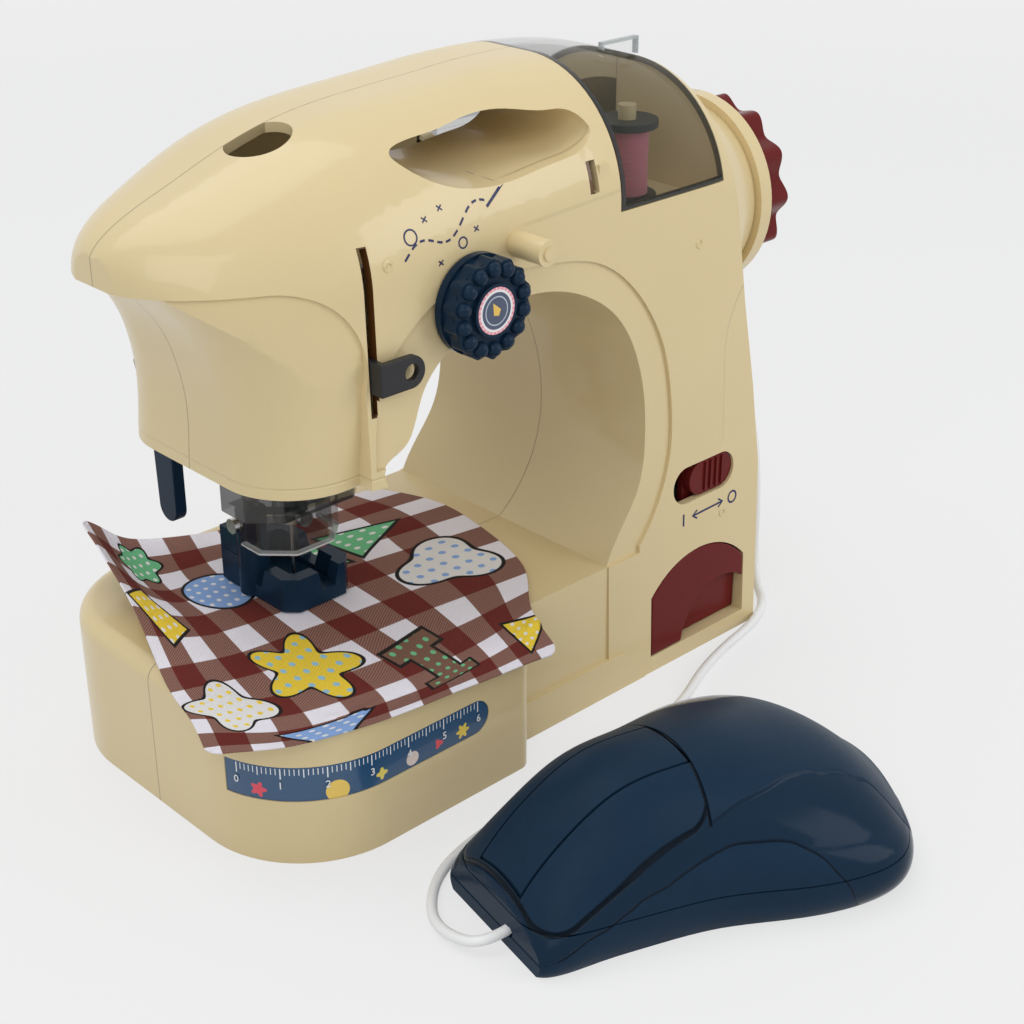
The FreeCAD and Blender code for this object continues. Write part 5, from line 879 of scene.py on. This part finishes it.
class SEWING_OT_cloth(bpy.types.Operator):
    """Printed gingham square lying over the table"""
    bl_idname = "sewing.cloth"
    bl_label = "Cloth"

    GRID = 88
    SOFT = 0.045
    DOT_SPACING = 3.1

    def execute(self, context):
        cloth = context.scene.sewing_cloth
        work = bmesh.new()
        bmesh.ops.create_grid(work, x_segments=self.GRID, y_segments=self.GRID, size=0.5,
                              calc_uvs=True)
        layer = work.loops.layers.uv.verify()
        rows = [[Vector(p) for p in row] for row in CLOTH_PLACES]
        for face in work.faces:
            for loop in face.loops:
                u, v = loop.vert.co.x + 0.5, loop.vert.co.y + 0.5
                loop[layer].uv = (u * cloth.side / MM, v * cloth.side / MM)
        for vertex in work.verts:
            u, v = self.rounded(vertex.co.x, vertex.co.y)
            place = through([through(row, u) for row in rows], v)
            wave = 0.22 * math.sin(u * 19 + v * 5) * math.sin(v * 13 - u * 4 + 1)
            place.z = CLOTH_MIDDLE + place.z + wave * (0.25 + abs(place.z) * 0.2)
            if self.on_table(place.x, place.y):
                least = TABLE_TOP + 0.06 * math.sin(u * 30) * math.sin(v * 27)
                place.z = max(place.z, least)
            vertex.co = place * MM
        bmesh.ops.recalc_face_normals(work, faces=work.faces)
        obj = piece("cloth_square", work, self.gingham(cloth), 180)
        obj.data.uv_layers[0].name = "weave"
        wall = obj.modifiers.new("Thickness", "SOLIDIFY")
        wall.thickness = cloth.thickness
        wall.offset = 0.0
        own(obj, "housing", "cloth", "cloth")
        return {"FINISHED"}

    def rounded(self, x, y):
        """Eases the square's corners, and measures across it from 0 to 1."""
        soft = 2 * self.SOFT
        start = 1 - soft
        ax, ay = abs(x) * 2, abs(y) * 2
        if ax > start and ay > start:
            dx, dy = (ax - start) / soft, (ay - start) / soft
            ease = max(dx, dy) / math.hypot(dx, dy)
            ax, ay = start + soft * dx * ease, start + soft * dy * ease
        return 0.5 + math.copysign(ax / 2, x), 0.5 + math.copysign(ay / 2, y)

    def on_table(self, x, y):
        """Whether the table is under a place, inside its round corner."""
        return x > -79.0 and y > -46.0 and x < 30 and math.hypot(
            min(0, x - CORNER[0]), min(0, y - CORNER[1])) < CORNER_RADIUS - 0.5

    def gingham(self, cloth):
        """Twilled check with printed and outlined patches."""
        check = cloth.check / MM
        paint = Paint("gingham")
        u, v, _ = paint.place("weave")
        weave = paint.noise(0.35)
        cloud = paint.noise(9.0, 3.0)
        across, down = [abs((place / (2 * check)).part() - 0.5).under(0.25, 0.008)
                        for place in (u, v)]
        twill = ((u * 0.55 - v * 0.85) * 2.1).part()
        rows = ((u * 0.85 + v * 0.55) * 2.3).part()
        rib = abs(twill - 0.5) * 2.0
        fleck = (rib - 0.35) * 1.1 * (abs(rows - 0.5) * 0.8 + 0.6) + (weave - 0.5) * 0.5
        fleck = fleck.most(0.0)
        half = tuple(0.45 * c + 0.55 * p for c, p in zip(cloth.brown, cloth.pale))
        single = paint.mix(fleck * 0.5, cloth.brown, half)
        both = paint.mix(fleck * 0.4, cloth.dark, tone(cloth.dark, 2.0))
        ground = paint.mix(fleck * 0.35, cloth.pale, tone(cloth.pale, 0.70))
        colour = paint.mix(across.most(down), ground, single)
        colour = paint.mix(across * down, colour, both)
        dots = self.dots(u, v)
        for outline, fill, spot in self.shapes(u, v):
            fabric = paint.mix(weave * 0.25, fill, tone(fill, 0.8))
            fabric = paint.mix(dots, fabric, spot)
            colour = paint.mix(outline.under(0.0, 0.1), colour, fabric)
            colour = paint.mix(abs(outline).under(0.40, 0.1), colour, (0.006, 0.006, 0.006))
        colour = paint.mix(cloud * 0.08, colour, (0.26, 0.20, 0.18))
        return paint.surface(Base_Color=colour, Roughness=0.9, Specular_IOR_Level=0.15,
                             Normal=paint.bump(rib * 0.7 + weave * 0.6, 0.09))

    def dots(self, u, v):
        """Small dots in slanting rows."""
        a, b = (u + v * 0.35) / self.DOT_SPACING, (v - u * 0.35) / self.DOT_SPACING
        da, db = a.part() - 0.5, b.part() - 0.5
        return (da * da + db * db).under(0.045, 0.012)

    def shapes(self, u, v):
        """Printed patches: how far each place is outside them, their fill and their dots."""
        white, yellow, green, blue, brown = ((0.80, 0.79, 0.78), (0.86, 0.62, 0.05),
                                             (0.16, 0.52, 0.26), (0.26, 0.42, 0.75),
                                             (0.19, 0.10, 0.065))

        def flower(cu, cv, size, petals, depth, turn=0.0):
            du, dv = u - cu, v - cv
            return ((du * du + dv * dv) ** 0.5
                    - ((dv.angle(du) * petals + turn).math("COSINE") * depth + 1.0) * size)

        def box(cu, cv, half_u, half_v, turn=0.0):
            c, s = math.cos(turn), math.sin(turn)
            du, dv = u - cu, v - cv
            return (abs(du * c + dv * s) - half_u).most(abs(dv * c - du * s) - half_v)

        def wedge(cu, cv, size, turn):
            du, dv = u - cu, v - cv
            turns = [turn + k * 2 * math.pi / 3 for k in range(3)]
            sides = [du * math.cos(side) + dv * math.sin(side) for side in turns]
            return sides[0].most(sides[1]).most(sides[2]) - size

        reel = box(55.5, 11.0, 7.0, 2.4, 0.15).least(
            box(53.6, 24.6, 7.0, 2.4, 0.15)).least(box(54.5, 17.8, 3.6, 7.0, 0.15))
        bow = wedge(57.5, 60.5, 4.8, 0.3).least(wedge(69.0, 63.8, 4.8, 0.3 + math.pi))
        return ((flower(10.5, 22.0, 8.6, 4, 0.24, 0.6), white, yellow),
                (wedge(27.0, 3.6, 5.6, math.pi / 2 + 0.1), blue, white),
                (flower(32.5, 29.0, 8.4, 5, 0.30, 1.0), yellow, (0.30, 0.55, 0.68)),
                (reel, brown, green),
                (flower(77.0, 44.0, 8.0, 3, 0.24, 2.4), white, blue),
                (bow, green, white),
                (box(8.0, 52.0, 4.6, 7.4, 0.5), yellow, white),
                (flower(34.0, 60.0, 8.4, 0, 0.0), blue, white),
                (wedge(82.0, 12.0, 4.6, 1.2), yellow, white),
                (flower(20.0, 77.0, 6.6, 6, 0.16), green, white))


class SEWING_OT_lead(bpy.types.Operator):
    """Pedal lead and its plug"""
    bl_idname = "sewing.lead"
    bl_label = "Lead"

    RADIUS = 1.15
    PLACES = ((85.9, 16, 60), (102.1, 16, 60), (102.3, -6, 57.5), (96.5, -20.5, 50),
              (95.3, -25.2, 31), (95, -26, 1.25), (83, -41, 1.25), (52, -46.5, 1.25),
              (30, -56.5, 1.25), (0, -61, 1.25), (-26, -59, 1.25), (-46, -60.8, 1.25),
              (-58.1, -66.2, 1.25), (-66.5, -76.5, 1.36), (-64.3, -90.8, 3.6),
              (-49.5, -89, 5.0))

    def execute(self, context):
        white = moulded("white lead", context.scene.sewing_finish.lead, 0.42, coat=0.1,
                        depth=0.006, sway=0.02)
        data = bpy.data.curves.new("pedal_cord", "CURVE")
        data.dimensions = "3D"
        data.bevel_depth = self.RADIUS * MM
        data.bevel_resolution = 5
        data.resolution_u = 14
        data.use_fill_caps = True
        spline = data.splines.new("NURBS")
        spline.points.add(len(self.PLACES) - 1)
        for point, place in zip(spline.points, self.PLACES):
            point.co = tuple(c * MM for c in place) + (1.0,)
        spline.order_u = 3
        spline.use_endpoint_u = True
        data.materials.append(white)
        obj = bpy.data.objects.new("pedal_cord", data)
        context.scene.collection.objects.link(obj)
        own(obj, "housing", "lead_white", "pedal_lead")
        plug = dress("pedal_plug", "lead_white", white, 35, edge=0.2)
        tuple(c * MM for c in self.PLACES[0])
        return {"FINISHED"}


class SEWING_OT_pedal(bpy.types.Operator):
    """Foot pedal: base, top and the pressed strip"""
    bl_idname = "sewing.pedal"
    bl_label = "Pedal"

    # The middle of its near end, its turn on the floor in degrees, and the lines round its
    # panels: how far along and how high, in millimetres
    NOSE = (-57.2, -84.2)
    TURN = 11.6
    PANEL_CORNER = 7.0
    RIDGE = ((36, 22.0), (45, 24.2), (55, 25.1), (62, 24.8), (68, 23.4), (76, 20.6), (82, 16.0),
             (88, 6.0))
    SKIRT = ((0, 3.4), (8, 6.9), (15, 9.2), (21, 12.3), (29, 14.8), (40, 18.0), (47, 18.4),
             (55, 17.0), (60, 12.9), (64, 6.4), (68, 0.0))

    def execute(self, context):
        navy = self.skin(context.scene.sewing_finish.navy)
        for node in ("pedal_base", "pedal_top", "pedal_button"):
            dress(node, "navy_plastic", navy, 32, even=True)
        return {"FINISHED"}

    def skin(self, colour):
        """Matt panels with a glossy band sunk between them and painted shade in the grooves round
        them, in the pedal's own frame.
        """
        paint = Paint("pedal plastic")
        x, y, z = paint.place()
        turn = math.radians(self.TURN)
        x, y = x - self.NOSE[0], y - self.NOSE[1]
        along = x * math.cos(turn) - y * math.sin(turn)
        side = abs(x * math.sin(turn) + y * math.cos(turn))
        corner = self.PANEL_CORNER
        ends = (abs(along - 21.5) - (20.5 - corner)).most(0.0)
        flanks = (side - (18.2 - corner)).most(0.0)
        edge = (ends * ends + flanks * flanks) ** 0.5 - corner
        split = along - (42.6 - side * side * 0.0095)
        panel = edge.most(split)
        ridge, lower = [paint.profile(along, 100.0, 40.0, line)
                        for line in (self.RIDGE, self.SKIRT)]
        rear = split.step(-0.3, 0.3) * (z - ridge).step(-0.35, 0.35)
        below = (lower - z).step(-0.35, 0.35)
        matt = panel.under(0.0, 0.35).most(rear).most(below)
        # the grooves round the panels and along the skirt: cut in by the bump, and darkened as
        # painted shade
        shaded_groove = abs(panel).under(0.32, 0.18).most(
            abs(split).under(0.3, 0.18) * (18.9 - side).step(-0.2, 0.2))
        shaded_groove = shaded_groove.most(abs(lower - z).under(0.2, 0.15) * 0.7) * z.step(4.0, 5.0)
        flow = paint.noise(30.0, 3.0)
        dust = paint.noise(3.0, 4.0, 0.65)
        grain = paint.noise(0.4)
        base = paint.mix(flow, tone(colour, 0.9), tone(colour, 1.1))
        base = paint.mix(matt * dust * 0.5, base, tone(colour, 1.45))
        base = paint.mix(shaded_groove * 0.85, base, tone(colour, 0.18))
        normal = paint.bump(matt * 0.6 - shaded_groove * 0.5, 1.0)
        normal = paint.bump(grain * matt, 0.03, normal=normal)
        return paint.surface(Base_Color=base, Roughness=matt * 0.26 + dust * 0.10 + 0.10,
                             Specular_IOR_Level=0.07, Normal=normal)


class SEWING_PT_panel(bpy.types.Panel):
    """Lists the pieces and the values of the toy sewing machine"""
    bl_idname = "SEWING_PT_panel"
    bl_label = "Toy Sewing Machine"
    bl_space_type = "VIEW_3D"
    bl_region_type = "UI"
    bl_category = "Sewing Machine"

    def draw(self, context):
        for part in PARTS:
            self.layout.operator(part.bl_idname)
        for group in (context.scene.sewing_finish, context.scene.sewing_cloth,
                      context.scene.sewing_stage):
            box = self.layout.box()
            for name in group.__annotations__:
                box.prop(group, name)


GROUPS = (("sewing_finish", SewingFinish), ("sewing_cloth", SewingCloth),
          ("sewing_stage", SewingStage))
PARTS = (SEWING_OT_stage, SEWING_OT_housing, SEWING_OT_lid, SEWING_OT_spool,
         SEWING_OT_controls, SEWING_OT_works, SEWING_OT_rule, SEWING_OT_cloth,
         SEWING_OT_lead, SEWING_OT_pedal)


def register():
    for name, group in GROUPS:
        bpy.utils.register_class(group)
        setattr(bpy.types.Scene, name, PointerProperty(type=group))
    for part in PARTS + (SEWING_PT_panel,):
        bpy.utils.register_class(part)


def unregister():
    for part in (SEWING_PT_panel,) + PARTS[::-1]:
        bpy.utils.unregister_class(part)
    for name, group in GROUPS:
        delattr(bpy.types.Scene, name)
        bpy.utils.unregister_class(group)


def main():
    register()
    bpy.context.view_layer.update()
    for part in PARTS:
        getattr(bpy.ops.sewing, part.bl_idname.split(".")[1])()


if __name__ == "__main__":
    main()
